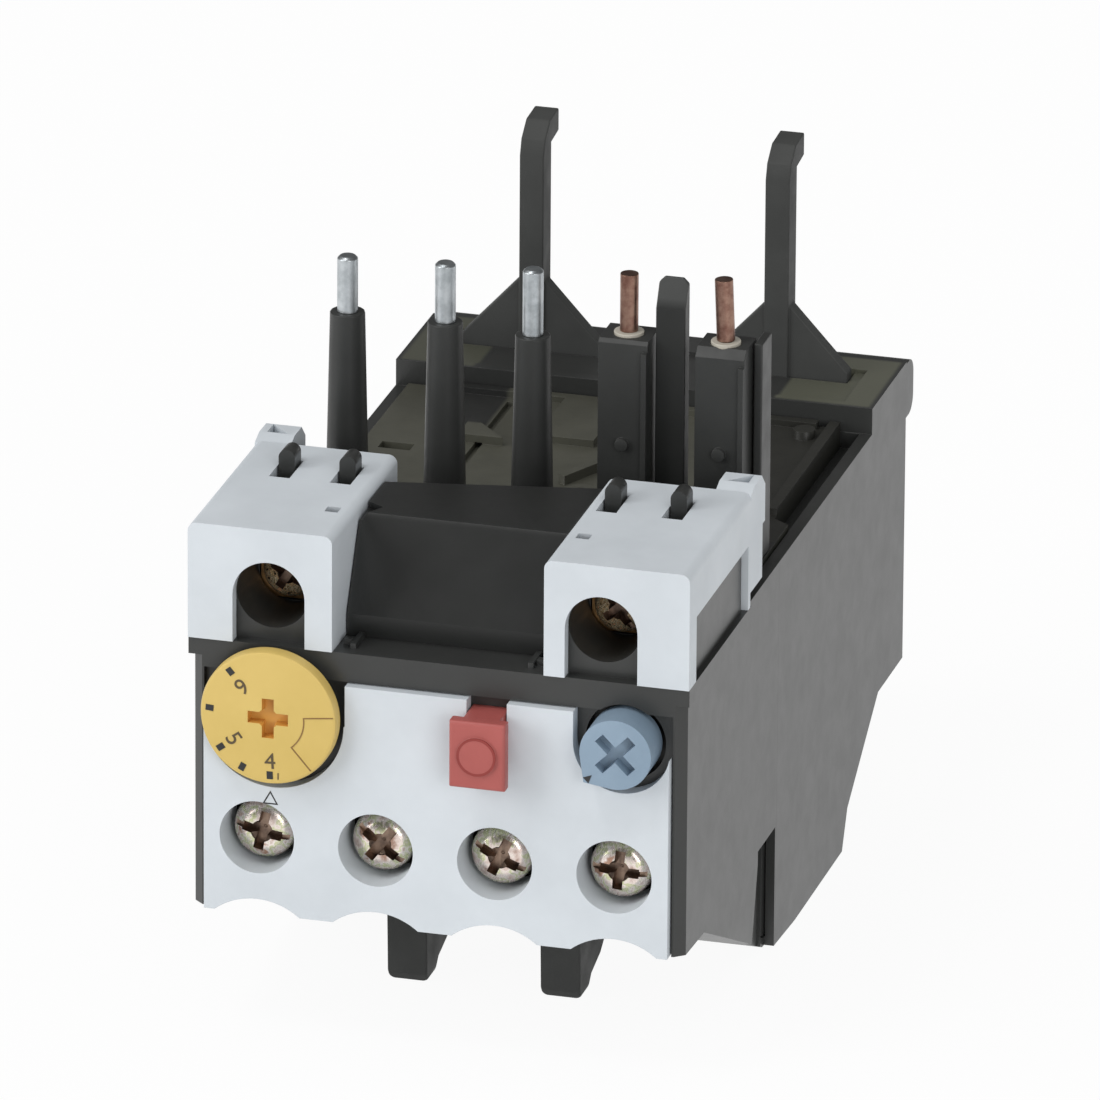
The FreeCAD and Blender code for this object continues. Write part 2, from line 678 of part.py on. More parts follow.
# --- Deck and what stands on it -----------------------------------------------------
def top_deck():
    """Cover over the heater chambers that carries the pins and wire holders."""
    outline = [
        (-deck_wide, deck_y0), (deck_wide, deck_y0), (deck_wide, deck_jog), (deck_narrow, deck_jog + 1.2),
        (deck_narrow, deck_y1), (-deck_wide, deck_y1),
    ]
    plate = plan_prism(outline, pocket_z, deck_z)
    rail_z = deck_z + 0.6
    rail = box(deck_narrow - 1, deck_narrow, deck_jog + 2, deck_y1, deck_z - 0.5, rail_z)
    pads = [
        box(-6.0, -0.6, 53.5, 63.5, deck_z - 0.5, deck_z + 0.7),
        box(-deck_narrow + 2, deck_narrow - 2, deck_y1 - 1.0, deck_y1, deck_z - 0.5, rail_z),
        rod_z(1.8, deck_jog + 0.4, 1.9, deck_z - 0.5, deck_z + 0.9),
        plan_prism([(-1.3, 44.2), (-0.6, 43.7), (1.8, 48.5), (1.1, 49.0)], deck_z - 0.5, deck_z + 0.9),
        plan_prism([(-12.8, 51.6), (-8.6, 51.6), (-12.8, 56.2)], deck_z - 0.5, deck_z + 0.8),
    ]
    stud = rod_z(deck_narrow - 2.6, deck_y1 - 3.0, 1.0, deck_z - 0.5, deck_z + 0.8)
    boss = rod_z(rocker_x, rocker_y, 2.0, rocker_z1 + 0.3, pocket_z + 0.5)
    cuts = [rod_z(1.8, deck_jog + 0.4, 1.0, deck_z - 0.6, deck_z + 2)]
    cuts.append(slab(-17.9, 3.0, 48.2, 49.8, deck_z - 0.8, deck_z + 1))
    for x in (-hole_pitch, hole_pitch):
        cuts.append(slab(x, 0.7, deck_jog + 2, deck_y1 - 2, deck_z - 0.5, deck_z + 0.1))
    cuts += [rod_z(x, row_y, pin_r - pin_step + seat_gap, pocket_z - 1, deck_z + 1) for x in pin_x]
    cuts += [rod_z(x, row_y, collar_out + run_gap, pocket_z - 1, deck_z + 1) for x in wire_x]
    cuts.append(rod_z(rocker_x, rocker_y, pivot_r + seat_gap, rocker_z0, pocket_z - 0.2))
    return cut_all(join([plate, stud, boss, rail] + pads), cuts)


def polygon_wire(x, y, z, r, sides):
    """Closed regular polygon in a level plane."""
    corners = [V(a, b, z) for a, b in ring_points(x, y, r, sides)]
    return Part.makePolygon(corners + corners[:1])


def pin_sleeve(x, top):
    """Tapered insulating sleeve round one contact pin."""
    z1 = edge_z + top
    foot = polygon_wire(x, row_y, deck_z, sleeve_r0, sleeve_sides)
    crown = polygon_wire(x, row_y, z1, sleeve_r1, sleeve_sides)
    taper = Part.makeLoft([foot, crown], True, True)
    return taper.cut(rod_z(x, row_y, pin_r - pin_step + seat_gap, deck_z - 1, z1 + 1))


def contact_pin(x, tip, top):
    """Round contact pin with a small chamfer at its tip; it leaves its sleeve at top."""
    z1 = edge_z + tip
    foot = bimetal_top + strip_t + 0.2
    neck = edge_z + top
    core = rod_z(x, row_y, pin_r - pin_step, foot, neck + 0.5)
    shaft = rod_z(x, row_y, pin_r, neck, z1 - pin_nose)
    nose = Part.makeCone(pin_r, pin_r - pin_nose, pin_nose, V(x, row_y, z1 - pin_nose))
    return join([core, shaft, nose])


def wire_holder(x, slope):
    """Black holder of one wire: a post with a chamfered top and a rib on its right edge."""
    z1 = edge_z + holder_top
    y0 = row_y - collar_out - 0.75
    y1 = row_y + holder_t
    outline = [(y0, deck_z), (y0, z1 - slope), (y0 + slope, z1), (y1, z1), (y1, deck_z)]
    post = side_prism(outline, x - holder_w / 2, x + holder_w / 2)
    rib = slab(x + (holder_w - holder_rib) / 2, holder_rib, y0 - holder_rib, y0 + 1, deck_z, z1 - slope - 0.6)
    nub = rod_y(x, deck_z + nub_z + nub_r, nub_r, y0 - 0.5, row_y)
    bore = rod_z(x, row_y, collar_out + run_gap, deck_z - 1, z1 + 1)
    return join([post, rib, nub]).cut(bore)


def side_fin():
    """Thin barrier fin beside the last holder."""
    return slab(fin_x, fin_t, fin_y, fin_y + fin_d, deck_z, edge_z + holder_top)


def locating_tab():
    """Flat tab with a sloped front that guides the relay into the contactor."""
    top = edge_z + tab_top
    y0 = row_y - tab_t / 2
    y1 = row_y + tab_t / 2
    outline = [(y0, deck_z), (y0, top - tab_slope), (y1 - 0.3, top), (y1, top), (y1, deck_z)]
    tab = side_prism(outline, tab_x - tab_w / 2, tab_x + tab_w / 2)
    for s in (-1, 1):
        x = tab_x + s * tab_w / 2
        corner_points = [(x - s * tab_corner, top), (x + s, top + 1), (x + s, top - 2 * tab_corner), (x, top - tab_corner)]
        tab = tab.cut(front_prism(corner_points, y0 - 1, y1 + 1))
    return tab


def wire_collar(x):
    """Insulation tube of one wire; its end shows above the holder."""
    tube = rod_z(x, row_y, collar_out, deck_z - deck_t, edge_z + collar_top)
    return tube.cut(rod_z(x, row_y, wire_r - wire_step + seat_gap, deck_z - 3, edge_z + collar_top + 1))


def wire_direction(lean):
    """Unit vector of a wire that leans sideways by a number of degrees."""
    angle = math.radians(lean)
    return V(math.sin(angle), 0, math.cos(angle))


def copper_wire(x, lean, tip):
    """Bare solid conductor, straight in its holder and leaning slightly above it."""
    way = wire_direction(lean)
    low = V(x, row_y, bimetal_top + strip_t + 0.2)
    knee = V(x, row_y, edge_z + collar_top + wire_r * abs(way.x))
    straight = Part.makeCylinder(wire_r - wire_step, knee.z - low.z + 0.5, low)
    reach = (edge_z + tip - knee.z) / way.z
    upper = Part.makeCylinder(wire_r, reach, knee, way)
    return join([straight, upper])


# --- Rear hooks and feet ------------------------------------------------------------
def mounting_hook(x):
    """Hook that hangs the relay from the contactor: gusset, shaft and nose."""
    z0 = block_z - trough_d - hook_seat + run_gap
    neck = edge_z + hook_neck
    top = edge_z + hook_top
    y1 = hook_y + hook_t
    bend = (top - neck) / 2
    outline = [
        (hook_y, z0), (hook_y, neck), (hook_y + bend / 3, neck + bend), (y1 - 0.5, top - 0.2), (y1 + hook_nose, top),
        (y1 + hook_nose, top - 2.2), (y1, top - 2.5), (y1, z0),
    ]
    shaft = side_prism(outline, x - hook_w / 2, x + hook_w / 2)
    apex = edge_z + gusset_z
    half = gusset_w / 2
    gusset = front_prism([(x - half, z0), (x - half, block_z + 0.4), (x - 0.5, apex), (x + 0.5, apex),
                          (x + half, block_z + 0.4), (x + half, z0)], hook_y + 0.3, hook_y + 0.3 + gusset_t)
    return join([shaft, gusset])


def base_foot(x):
    """Tapered foot under the front of the body."""
    def belly(y):
        return edge_z - chin_drop + (y - chin_y) * (ramp_z - edge_z + chin_drop) / (ramp_y - chin_y)
    outline = [
        (foot_y, belly(foot_y)),
        (foot_y + 0.3, 0.9),
        (foot_y + 0.9, 0),
        (foot_y + 0.9 + foot_tread, 0),
        (foot_y + 2.0 + foot_tread, 1.1),
        (foot_y + foot_l - 2.4, 1.9),
        (foot_y + foot_l, belly(foot_y + foot_l)),
    ]
    foot = side_prism(outline, x - foot_w / 2, x + foot_w / 2)
    return round_edges(foot, 0.6, lambda e: runs_along(e, V(0, 1, 0)) and e.BoundBox.ZMax < 0.1)


# --- Controls -----------------------------------------------------------------------
def rating_dial():
    """Current dial: disc with a cross recess and a hub through the front wall."""
    disc = rod_y(dial_x, dial_axis, dial_r, dial_y, dial_y + dial_t)
    hub = rod_y(dial_x, dial_axis, hub_r, dial_y + 0.5, front_wall + 0.1)
    spigot = rod_y(dial_x, dial_axis, 1.2, front_wall, front_wall + cam_t)
    arms = [slab(dial_x, 3.4, dial_y - 1, dial_y + 1.1, dial_axis - 0.55, dial_axis + 0.55),
            slab(dial_x, 1.1, dial_y - 1, dial_y + 1.1, dial_axis - 1.7, dial_axis + 1.7)]
    return cut_all(join([disc, hub, spigot]), arms)


def dial_cam():
    """Eccentric on the dial's hub that shifts the trip point."""
    y0 = front_wall + 0.1
    cam = rod_y(dial_x + cam_shift, dial_axis, cam_r, y0, y0 + cam_t)
    return cam.cut(rod_y(dial_x, dial_axis, 1.22, y0 - 1, y0 + cam_t + 1))


def stop_button():
    """Test and stop button: thin head on a guided stem with a shoulder."""
    head = slab(stop_x, stop_w, stop_y, stop_y + stop_t, stop_axis - stop_h / 2, stop_axis + stop_h / 2)
    head = round_edges(head, 0.35, lambda e: e.BoundBox.YMax < stop_y + 0.01)
    mark = rod_y(stop_x, stop_axis, mark_r, stop_y - mark_rise, stop_y + mark_rise)
    zc = stop_axis + stem_drop
    stem = slab(stop_x, stem_w, stop_y + stop_t - 0.2, stem_end, zc - stem_h / 2, zc + stem_h / 2)
    shoulder = slab(stop_x, stem_w + 1.6, front_wall + 0.1, front_wall + 1.1, zc - stem_h / 2, zc + stem_h / 2)
    spigot = rod_y(stop_x, zc, spigot_r, stem_end, stem_end + spigot_l)
    return join([head, mark, stem, shoulder, spigot])


def reset_knob():
    """Blue knob with an X recess and a pointer at its lower left."""
    disc = rod_y(knob_x, knob_axis, knob_r, knob_y, knob_y + knob_t)
    angle = math.radians(225)
    tip = (knob_x + pointer_r * math.cos(angle), knob_axis + pointer_r * math.sin(angle))
    side = [(knob_x + knob_r * math.cos(a), knob_axis + knob_r * math.sin(a)) for a in (angle - 0.6, angle + 0.6)]
    pointer = front_prism([(knob_x, knob_axis), side[0], tip, side[1]], knob_y, knob_y + knob_lip)
    bore = rod_y(knob_x, knob_axis, spigot_r + run_gap, knob_y + knob_t - 1.6, knob_y + knob_t + 1)
    arms = []
    for turn in (45, -45):
        arm_box = slab(knob_x, 4.2, knob_y - 1, knob_y + 1.2, knob_axis - 0.5, knob_axis + 0.5)
        arms.append(arm_box.rotate(V(knob_x, 0, knob_axis), V(0, 1, 0), turn))
    return cut_all(join([disc, pointer]), arms + [bore])


def reset_plunger():
    """Plunger that carries the knob, with its retaining shoulder."""
    y0 = knob_y + knob_t
    floor = well_y + wall * 0.7
    return join([
        rod_y(knob_x, knob_axis, spigot_r, y0 - 1.5, y0 + 0.5),
        rod_y(knob_x, knob_axis, plunger_r, y0, floor + 1.0),
        rod_y(knob_x, knob_axis, collar_r, floor + 0.1, floor + 1.1),
        rod_y(knob_x, knob_axis, spigot_r, floor + 1.0, rib_y - press - 0.4),
    ])


def button_spring(x, z, y0):
    """Compression spring as a thin tube between a button and the rib."""
    tube = rod_y(x, z, spigot_r + 0.2 + spring_wall, y0, rib_y - 0.05)
    return tube.cut(rod_y(x, z, spigot_r + 0.2, y0 - 1, rib_y + 1))


# --- Terminals ----------------------------------------------------------------------
def terminal_screw(x, z, y0, r, length):
    """Screw with its head towards the front."""
    return join([rod_y(x, z, r, y0, y0 + screw_head), stick_y(x, z, shank_r, y0 + 1, y0 + length)])


def terminal_cage(x):
    """Square clamp cage with a conductor opening from below."""
    z0 = terminal_z - cage_h / 2
    outer = slab(x, cage_w, cage_y, cage_y + cage_d, z0, z0 + cage_h)
    inner = slab(x, cage_w - 2 * cage_t, cage_y + 1.6 * cage_t, cage_y + cage_d - cage_t, z0 - 1, z0 + cage_h + 1)
    hole = stick_y(x, terminal_z, shank_r + 2 * seat_gap, cage_y - 1, cage_y + 3 * cage_t)
    return cut_all(outer, [inner, hole])


def load_strip(x, y1):
    """Terminal strip from a cage up and back to y1."""
    y0 = cage_y + cage_d - cage_t - strip_t - 0.05
    upright = slab(x, strip_w, y0, y0 + strip_t, terminal_z - cage_h / 2, block_top + strip_t + 0.1)
    level = slab(x, strip_w, y0, y1, block_top + 0.1, block_top + 0.1 + strip_t)
    return join([upright, level])


def wire_terminal():
    """Terminal strip of the looped wire: from the fourth cage up to the wire."""
    x = terminal_x[3]
    level = load_strip(x, row_y + strip_t / 2)
    top = bimetal_top + strip_t
    riser = slab(x, strip_w, row_y - strip_t / 2, row_y + strip_t / 2, block_top + 0.1, top + 0.1)
    return join([level, riser])


def aux_terminal(arch_x, zc, tail):
    """Clamp plate and strip of one auxiliary terminal, with its tail piece."""
    y0 = aux_screw_y + screw_head
    plate = slab(arch_x, aux_clamp, y0, y0 + strip_t, zc - aux_clamp / 2, zc + aux_clamp / 2)
    strip = slab(arch_x, strip_w, y0 + strip_t, y0 + 2 * strip_t, strip_level, zc + aux_clamp / 2)
    hole = stick_y(arch_x, zc, shank_r + 2 * seat_gap, y0 - 1, y0 + 3)
    return join([plate, strip] + tail).cut(hole)


def tail_strip(x0, x1, y0, y1):
    """Flat conductor just under the ceiling of the front shell."""
    return box(x0, x1, y0, y1, strip_level, strip_level + strip_t)


# --- Heaters and mechanism ----------------------------------------------------------
def bimetal_strip(x):
    """Bimetal of one pole, flat side towards X."""
    return slab(x, bimetal_t, strip_y0, strip_y0 + bimetal_w, bimetal_low, bimetal_top)


def heater_winding(x):
    """Ribbon winding round one bimetal."""
    inner = slab(x, bimetal_t + 0.1, strip_y0 - 0.05, strip_y0 + bimetal_w + 0.05, winding_z0 - 1, winding_z1 + 1)
    core = slab(x, bimetal_t + 0.1 + winding_t, strip_y0 - winding_t / 2, strip_y0 + bimetal_w + winding_t / 2,
                winding_z0, winding_z1)
    pitch = (winding_z1 - winding_z0) / winding_turns
    turns = [slab(x, bimetal_t + 0.1 + 2 * winding_t, strip_y0 - winding_t, strip_y0 + bimetal_w + winding_t,
                  winding_z0 + (i + 0.2) * pitch, winding_z0 + (i + 0.8) * pitch) for i in range(winding_turns)]
    return join([core] + turns).cut(inner)


def pin_strap(x, pole):
    """Strap from the foot of a contact pin to the root of its bimetal."""
    z0 = bimetal_top + 0.15
    half = strip_w / 2
    y1 = strip_y0 + bimetal_w
    outline = [(x - half, row_y - half), (x + half, row_y - half), (pole + half, strip_y0),
               (pole + half, y1), (pole - half, y1), (pole - half, strip_y0)]
    return plan_prism(outline, z0, z0 + strip_t)


def slide_bar(y0, side):
    """Slide across the poles; its fingers stand on one side of each bimetal."""
    bar = box(pole_x[0] - 2.6, lever_x - 2.6, y0, y0 + slide_t, slide_z, slide_z + slide_h)
    fingers = []
    for x in pole_x:
        edge = x + side * (bimetal_t / 2 + slide_gap)
        x0, x1 = sorted((edge, edge + side * 1.2))
        fy0 = y0 if side > 0 else strip_y0 + bimetal_w - 2.2
        fy1 = strip_y0 + 2.2 if side > 0 else y0 + slide_t
        fingers.append(box(x0, x1, fy0, fy1, slide_z, finger_top))
    return join([bar] + fingers)


def trip_lever():
    """Upright lever: pushed by the slide below, it swings the rocker above."""
    y0 = slide_front
    foot_x0 = lever_x - 2.6 + slide_gap
    outline = [
        (foot_x0, slide_z), (foot_x0 + 1.6, slide_z), (lever_x + 1.6, lever_z - 1.6), (lever_x + 1.6, lever_z + 1.6),
        (rocker_x + 2.9, rocker_z1), (rocker_x + 1.5, rocker_z1), (rocker_x + 1.5, rocker_z0 - 3),
        (lever_x - 1.8, lever_z + 1.2), (lever_x - 1.8, lever_z - 1.2), (foot_x0, slide_z + slide_h + 2),
    ]
    plate = front_prism(outline, y0, y0 + lever_t)
    return plate.cut(rod_y(lever_x, lever_z, pivot_r + run_gap, y0 - 1, y0 + lever_t + 1))


def trip_lever_pivot():
    """Pivot pin of the trip lever, pressed into the rear partition."""
    return rod_y(lever_x, lever_z, pivot_r, slide_front - slide_gap, partition_y + partition_t)


def contact_rocker():
    """Contact lever with a contact on each side of its front end."""
    arm_bar = box(rocker_x - 1.0, rocker_x + 1.0, rocker_tip, rocker_tail, rocker_z0, rocker_z1)
    hub = rod_z(rocker_x, rocker_y, 1.9, rocker_z0, rocker_z1)
    zc = (rocker_z0 + rocker_z1) / 2
    rivet = Part.makeCylinder(rivet_r, rivet_l, V(rocker_x - rivet_l / 2, rocker_tip + 1.2, zc), V(1, 0, 0))
    bore = rod_z(rocker_x, rocker_y, pivot_r + run_gap, rocker_z0 - 1, rocker_z1 + 1)
    return join([arm_bar, hub, rivet]).cut(bore)


def rocker_pivot():
    """Pivot pin of the rocker, held in the boss under the deck."""
    return rod_z(rocker_x, rocker_y, pivot_r, rocker_z0 - 0.3, pocket_z - 0.2)


def fixed_contact(side, gap):
    """Fixed contact blade beside the rocker tip; side is -1 or 1."""
    zc = (rocker_z0 + rocker_z1) / 2
    face = rocker_x + side * (rivet_l / 2 + gap)
    back = face + side * 0.6
    x0, x1 = sorted((back, back + side * 0.6))
    blade = box(x0, x1, rocker_tip - 1.0, rocker_tip + 4.0, rocker_z0 - 1, ceiling - strip_t - 0.15)
    rivet = Part.makeCylinder(rivet_r, 0.7, V(face, rocker_tip + 1.2, zc), V(side, 0, 0))
    return join([blade, rivet])


# --- Output -------------------------------------------------------------------------
def save(name, shape):
    """Write one node with the origin at the middle of the base."""
    moved = shape.copy()
    moved.translate(V(0, -mid_y, 0))
    moved.exportStep(os.path.join("parts", name + ".step"))


def save_all():
    """Build every node and write its file."""
    os.makedirs("parts", exist_ok=True)
    save("front_housing", front_housing())
    save("rear_housing", rear_housing())
    save("front_cover_plate", front_cover_plate())
    save("terminal_cap_right", terminal_cap(arch_right, slots_right))
    save("terminal_cap_left", mirror_x(terminal_cap(arch_left, slots_left)))
    save("top_deck", top_deck())
    save("side_fin", side_fin())
    save("locating_tab", locating_tab())
    for i, x in enumerate(pin_x, 1):
        top = sleeve_top[i - 1]
        save(f"contact_pin_{i}", contact_pin(x, pin_tip[i - 1], top))
        save(f"pin_sleeve_{i}", pin_sleeve(x, top))
        save(f"pin_strap_{i}", pin_strap(x, pole_x[i - 1]))
    for i, (x, lean) in enumerate(zip(wire_x, wire_lean), 1):
        save(f"copper_wire_{i}", copper_wire(x, lean, wire_tip[i - 1]))
        save(f"wire_collar_{i}", wire_collar(x))
        save(f"wire_holder_{i}", wire_holder(x, holder_slope[i - 1]))
    for side, name in ((-1, "left"), (1, "right")):
        save(f"mounting_hook_{name}", mounting_hook(side * hook_x))
        save(f"base_foot_{name}", base_foot(side * foot_x))
    save("rating_dial", rating_dial())
    save("dial_cam", dial_cam())
    save("stop_button", stop_button())
    save("stop_button_spring", button_spring(stop_x, stop_axis + stem_drop, stem_end))
    save("reset_knob", reset_knob())
    save("reset_plunger", reset_plunger())
    save("reset_spring", button_spring(knob_x, knob_axis, well_y + wall * 0.7 + 1.15))
    screws = [terminal_screw(x, terminal_z, screw_y, screw_r, screw_l) for x in terminal_x]
    save("main_terminal_screws", group(screws))
    save("main_terminal_cages", group([terminal_cage(x) for x in terminal_x]))
    for i, x in enumerate(pole_x, 1):
        save(f"load_terminal_{i}", load_strip(x, strip_y0 - winding_t - 0.3))
        save(f"bimetal_strip_{i}", bimetal_strip(x))
        save(f"heater_winding_{i}", heater_winding(x))
    save("wire_terminal", wire_terminal())
    screws = [terminal_screw(x, z, aux_screw_y, aux_screw_r, aux_screw_l) for x, z in zip(aux_x, aux_z)]
    save("aux_terminal_screws", group(screws))
    left, right = aux_x
    strip_y = aux_screw_y + screw_head + strip_t + strip_w / 4
    make_x = rocker_x + 4.6
    tail = tail_strip(right - 2, make_x, strip_y, rocker_tip + 2)
    save("aux_terminal_right", aux_terminal(right, aux_z[1], [tail]))
    link = [tail_strip(left - 2, rocker_x - 2.2, rocker_tip - 2, rocker_tip),
            tail_strip(left - 2, left + 2, strip_y, rocker_tip)]
    save("aux_terminal_left", aux_terminal(left, aux_z[0], link))
    save("trip_slide", slide_bar(slide_front, 1))
    save("differential_slide", slide_bar(slide_rear, -1))
    save("trip_lever", trip_lever())
    save("trip_lever_pivot", trip_lever_pivot())
    save("contact_rocker", contact_rocker())
    save("rocker_pivot", rocker_pivot())
    save("break_contact", fixed_contact(-1, 0.02))
    save("make_contact", fixed_contact(1, open_gap))


save_all()
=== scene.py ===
import json
import logging
import math
from dataclasses import dataclass, field
from enum import Enum
from functools import cached_property
from typing import Iterable, Sequence

import bmesh
import bpy
from bmesh.types import BMesh, BMVert
from bpy.types import Material, Node, NodeSocket as Socket, NodeTree as Tree, Object as Piece
from mathutils import Matrix, Vector


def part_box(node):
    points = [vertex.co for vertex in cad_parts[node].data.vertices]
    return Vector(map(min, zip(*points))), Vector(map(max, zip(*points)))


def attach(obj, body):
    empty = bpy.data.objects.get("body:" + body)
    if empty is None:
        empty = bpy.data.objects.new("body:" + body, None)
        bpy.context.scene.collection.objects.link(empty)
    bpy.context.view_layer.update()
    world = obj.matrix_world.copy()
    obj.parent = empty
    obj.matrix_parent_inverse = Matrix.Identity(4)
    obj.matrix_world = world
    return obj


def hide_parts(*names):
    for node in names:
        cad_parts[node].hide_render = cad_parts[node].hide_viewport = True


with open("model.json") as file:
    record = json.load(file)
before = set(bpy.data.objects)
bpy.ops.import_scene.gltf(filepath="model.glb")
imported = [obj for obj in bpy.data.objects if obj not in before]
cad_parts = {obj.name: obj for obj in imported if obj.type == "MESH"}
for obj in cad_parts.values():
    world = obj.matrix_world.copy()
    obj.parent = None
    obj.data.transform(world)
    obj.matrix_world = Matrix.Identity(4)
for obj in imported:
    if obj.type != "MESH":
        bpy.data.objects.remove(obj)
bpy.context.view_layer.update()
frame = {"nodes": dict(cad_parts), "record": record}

MM = 0.001
LOG = logging.getLogger("overload_relay")

# The front face of the body lies this far from the middle of the box, in metres.
CAD_MIDDLE_SHIFT = -0.0379
# Height of the body's lower front edge above the floor, in metres.
CAD_EDGE_HEIGHT = 0.012
BACKWARDS = Vector((0, 1, 0))
SMOOTH_ANGLE = 35.0
# Cosine at which the mitre of a printed line is cut off.
SHARPEST_MITRE = 0.3
# Height of the type over the height of its figures.
TYPE_TO_FIGURE = 1.38
# Print is this many times as thick as it stands proud, so that it sinks into its face.
SUNK = 1.5
# Width over which the edge of a coloured zone fades, in millimetres.
ZONE_FADE = 0.4

Colour = tuple[float, float, float]
Point = tuple[float, float, float]


# --- Small tools ---
def mm(x: float, y: float, z: float) -> Vector:
    """Point in metres from millimetres."""
    return Vector((x * MM, y * MM, z * MM))


def node_box(name: str) -> tuple[Vector, Vector]:
    """Box of a frame node, in millimetres.

    Args:
        name: Name of the node.
    Returns:
        Its lowest and highest corner.
    """
    low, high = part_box(name)
    return Vector(low) / MM, Vector(high) / MM


def front(name: str) -> Vector:
    """Middle of a frame node's front side, in millimetres.

    Args:
        name: Name of the node.
    Returns:
        The point.
    """
    low, high = node_box(name)
    return Vector(((low.x + high.x) / 2, low.y, (low.z + high.z) / 2))


def linear(code: str) -> Colour:
    """Linear colour of a six-digit screen colour.

    Args:
        code: Hexadecimal digits, such as "d6dbdf".
    Returns:
        Three linear channels.
    """
    channels = [int(code[i:i + 2], 16) / 255 for i in (0, 2, 4)]
    return tuple(c / 12.92 if c <= 0.04045 else ((c + 0.055) / 1.055) ** 2.4 for c in channels)


def new_object(name: str, data: bpy.types.ID) -> Piece:
    """Object in the scene.

    Args:
        name: Name of the object.
        data: Its mesh, curve, lamp or camera.
    Returns:
        The linked object.
    """
    thing = bpy.data.objects.new(name, data)
    bpy.context.scene.collection.objects.link(thing)
    return thing


def shade(mesh: bpy.types.Mesh, smooth_angle: float) -> None:
    """Shade a mesh smooth, apart from its sharp edges.

    Args:
        mesh: The mesh.
        smooth_angle: Edges sharper than this stay sharp, in degrees.
    """
    mesh.shade_smooth()
    mesh.set_sharp_from_angle(angle=math.radians(smooth_angle))


def finish_mesh(bm: BMesh, name: str, smooth_angle: float = SMOOTH_ANGLE) -> Piece:
    """Turn a bmesh into a shaded object at the origin.

    Args:
        bm: The work mesh, in metres; it is freed.
        name: Name of the piece.
        smooth_angle: Edges sharper than this stay sharp, in degrees.
    Returns:
        The linked object.
    """
    mesh = bpy.data.meshes.new(name)
    bm.to_mesh(mesh)
    bm.free()
    shade(mesh, smooth_angle)
    return new_object(name, mesh)


def weighted(piece: Piece) -> Piece:
    """Give weighted normals, so that flat faces stay flat beside rounded edges.

    Args:
        piece: The piece.
    Returns:
        The same piece.
    """
    modifier = piece.modifiers.new("weighted", "WEIGHTED_NORMAL")
    modifier.keep_sharp = True
    return piece


def carve(piece: Piece, cutters: Sequence[Piece]) -> Piece:
    """Subtract cutters from a piece and delete them.

    Args:
        piece: The piece that is cut.
        cutters: Closed shapes to take away.
    Returns:
        The same object with its new mesh.
    """
    for cutter in cutters:
        modifier = piece.modifiers.new("cut", "BOOLEAN")
        modifier.operation = "DIFFERENCE"
        modifier.solver = "EXACT"
        modifier.material_mode = "TRANSFER"
        modifier.object = cutter
    graph = bpy.context.evaluated_depsgraph_get()
    mesh = bpy.data.meshes.new_from_object(piece.evaluated_get(graph))
    piece.modifiers.clear()
    old = piece.data
    piece.data = mesh
    bpy.data.meshes.remove(old)
    for cutter in cutters:
        bpy.data.objects.remove(cutter)
    bm = bmesh.new()
    bm.from_mesh(mesh)
    bmesh.ops.remove_doubles(bm, verts=bm.verts, dist=1e-6)
    bmesh.ops.dissolve_degenerate(bm, edges=bm.edges, dist=1e-6)
    bm.to_mesh(mesh)
    bm.free()
    shade(mesh, SMOOTH_ANGLE)
    return piece


def merge(pieces: Sequence[Piece], name: str) -> Piece:
    """Join several pieces into one object, keeping their material slots.

    Args:
        pieces: Objects to join; all but the first disappear.
        name: Name of the joined piece.
    Returns:
        The joined object.
    """
    with bpy.context.temp_override(active_object=pieces[0], object=pieces[0],
                                   selected_objects=list(pieces), selected_editable_objects=list(pieces)):
        bpy.ops.object.join()
    pieces[0].name = name
    return pieces[0]


def block(low: Vector, high: Vector, name: str, turn: Matrix | None = None) -> Piece:
    """Axis-aligned block between two corners in millimetres.

    Args:
        low: Lowest corner.
        high: Highest corner.
        name: Name of the object.
        turn: Optional extra matrix in metres, applied to the finished block.
    Returns:
        The linked object.
    """
    bm = bmesh.new()
    size = (high - low) * MM
    matrix = Matrix.Translation((low + high) / 2 * MM) @ Matrix.Diagonal((size.x, size.y, size.z, 1))
    bmesh.ops.create_cube(bm, size=1, matrix=matrix)
    if turn is not None:
        bmesh.ops.transform(bm, matrix=turn, verts=bm.verts)
    return finish_mesh(bm, name)


def laid_back(centre: Vector) -> Matrix:
    """Matrix that turns the z axis towards the back.

    Args:
        centre: Where the origin goes, in millimetres.
    Returns:
        The matrix in metres.
    """
    rotation = Vector((0, 0, 1)).rotation_difference(BACKWARDS)
    return Matrix.Translation(centre * MM) @ rotation.to_matrix().to_4x4()


def turned(profile: Sequence[tuple[float, float]], centre: Vector, name: str, steps: int) -> Piece:
    """Body of revolution round an axis that runs from front to back.

    Args:
        profile: Closed outline, or one from axis to axis, of (radius, depth) pairs in millimetres.
        centre: Where depth zero lies, in millimetres.
        name: Name of the object.
        steps: Facets round the axis.
    Returns:
        The linked object.
    """
    bm = bmesh.new()
    verts = [bm.verts.new(mm(radius, 0, depth)) for radius, depth in profile]
    edges = [bm.edges.new(pair) for pair in zip(verts[:-1], verts[1:])]
    bmesh.ops.spin(bm, geom=verts + edges, cent=(0, 0, 0), axis=(0, 0, 1), dvec=(0, 0, 0),
                   angle=math.tau, steps=steps, use_merge=True, use_duplicate=False)
    bmesh.ops.remove_doubles(bm, verts=bm.verts, dist=1e-7)
    bmesh.ops.recalc_face_normals(bm, faces=bm.faces)
    bmesh.ops.transform(bm, matrix=laid_back(centre), verts=bm.verts)
    return finish_mesh(bm, name)


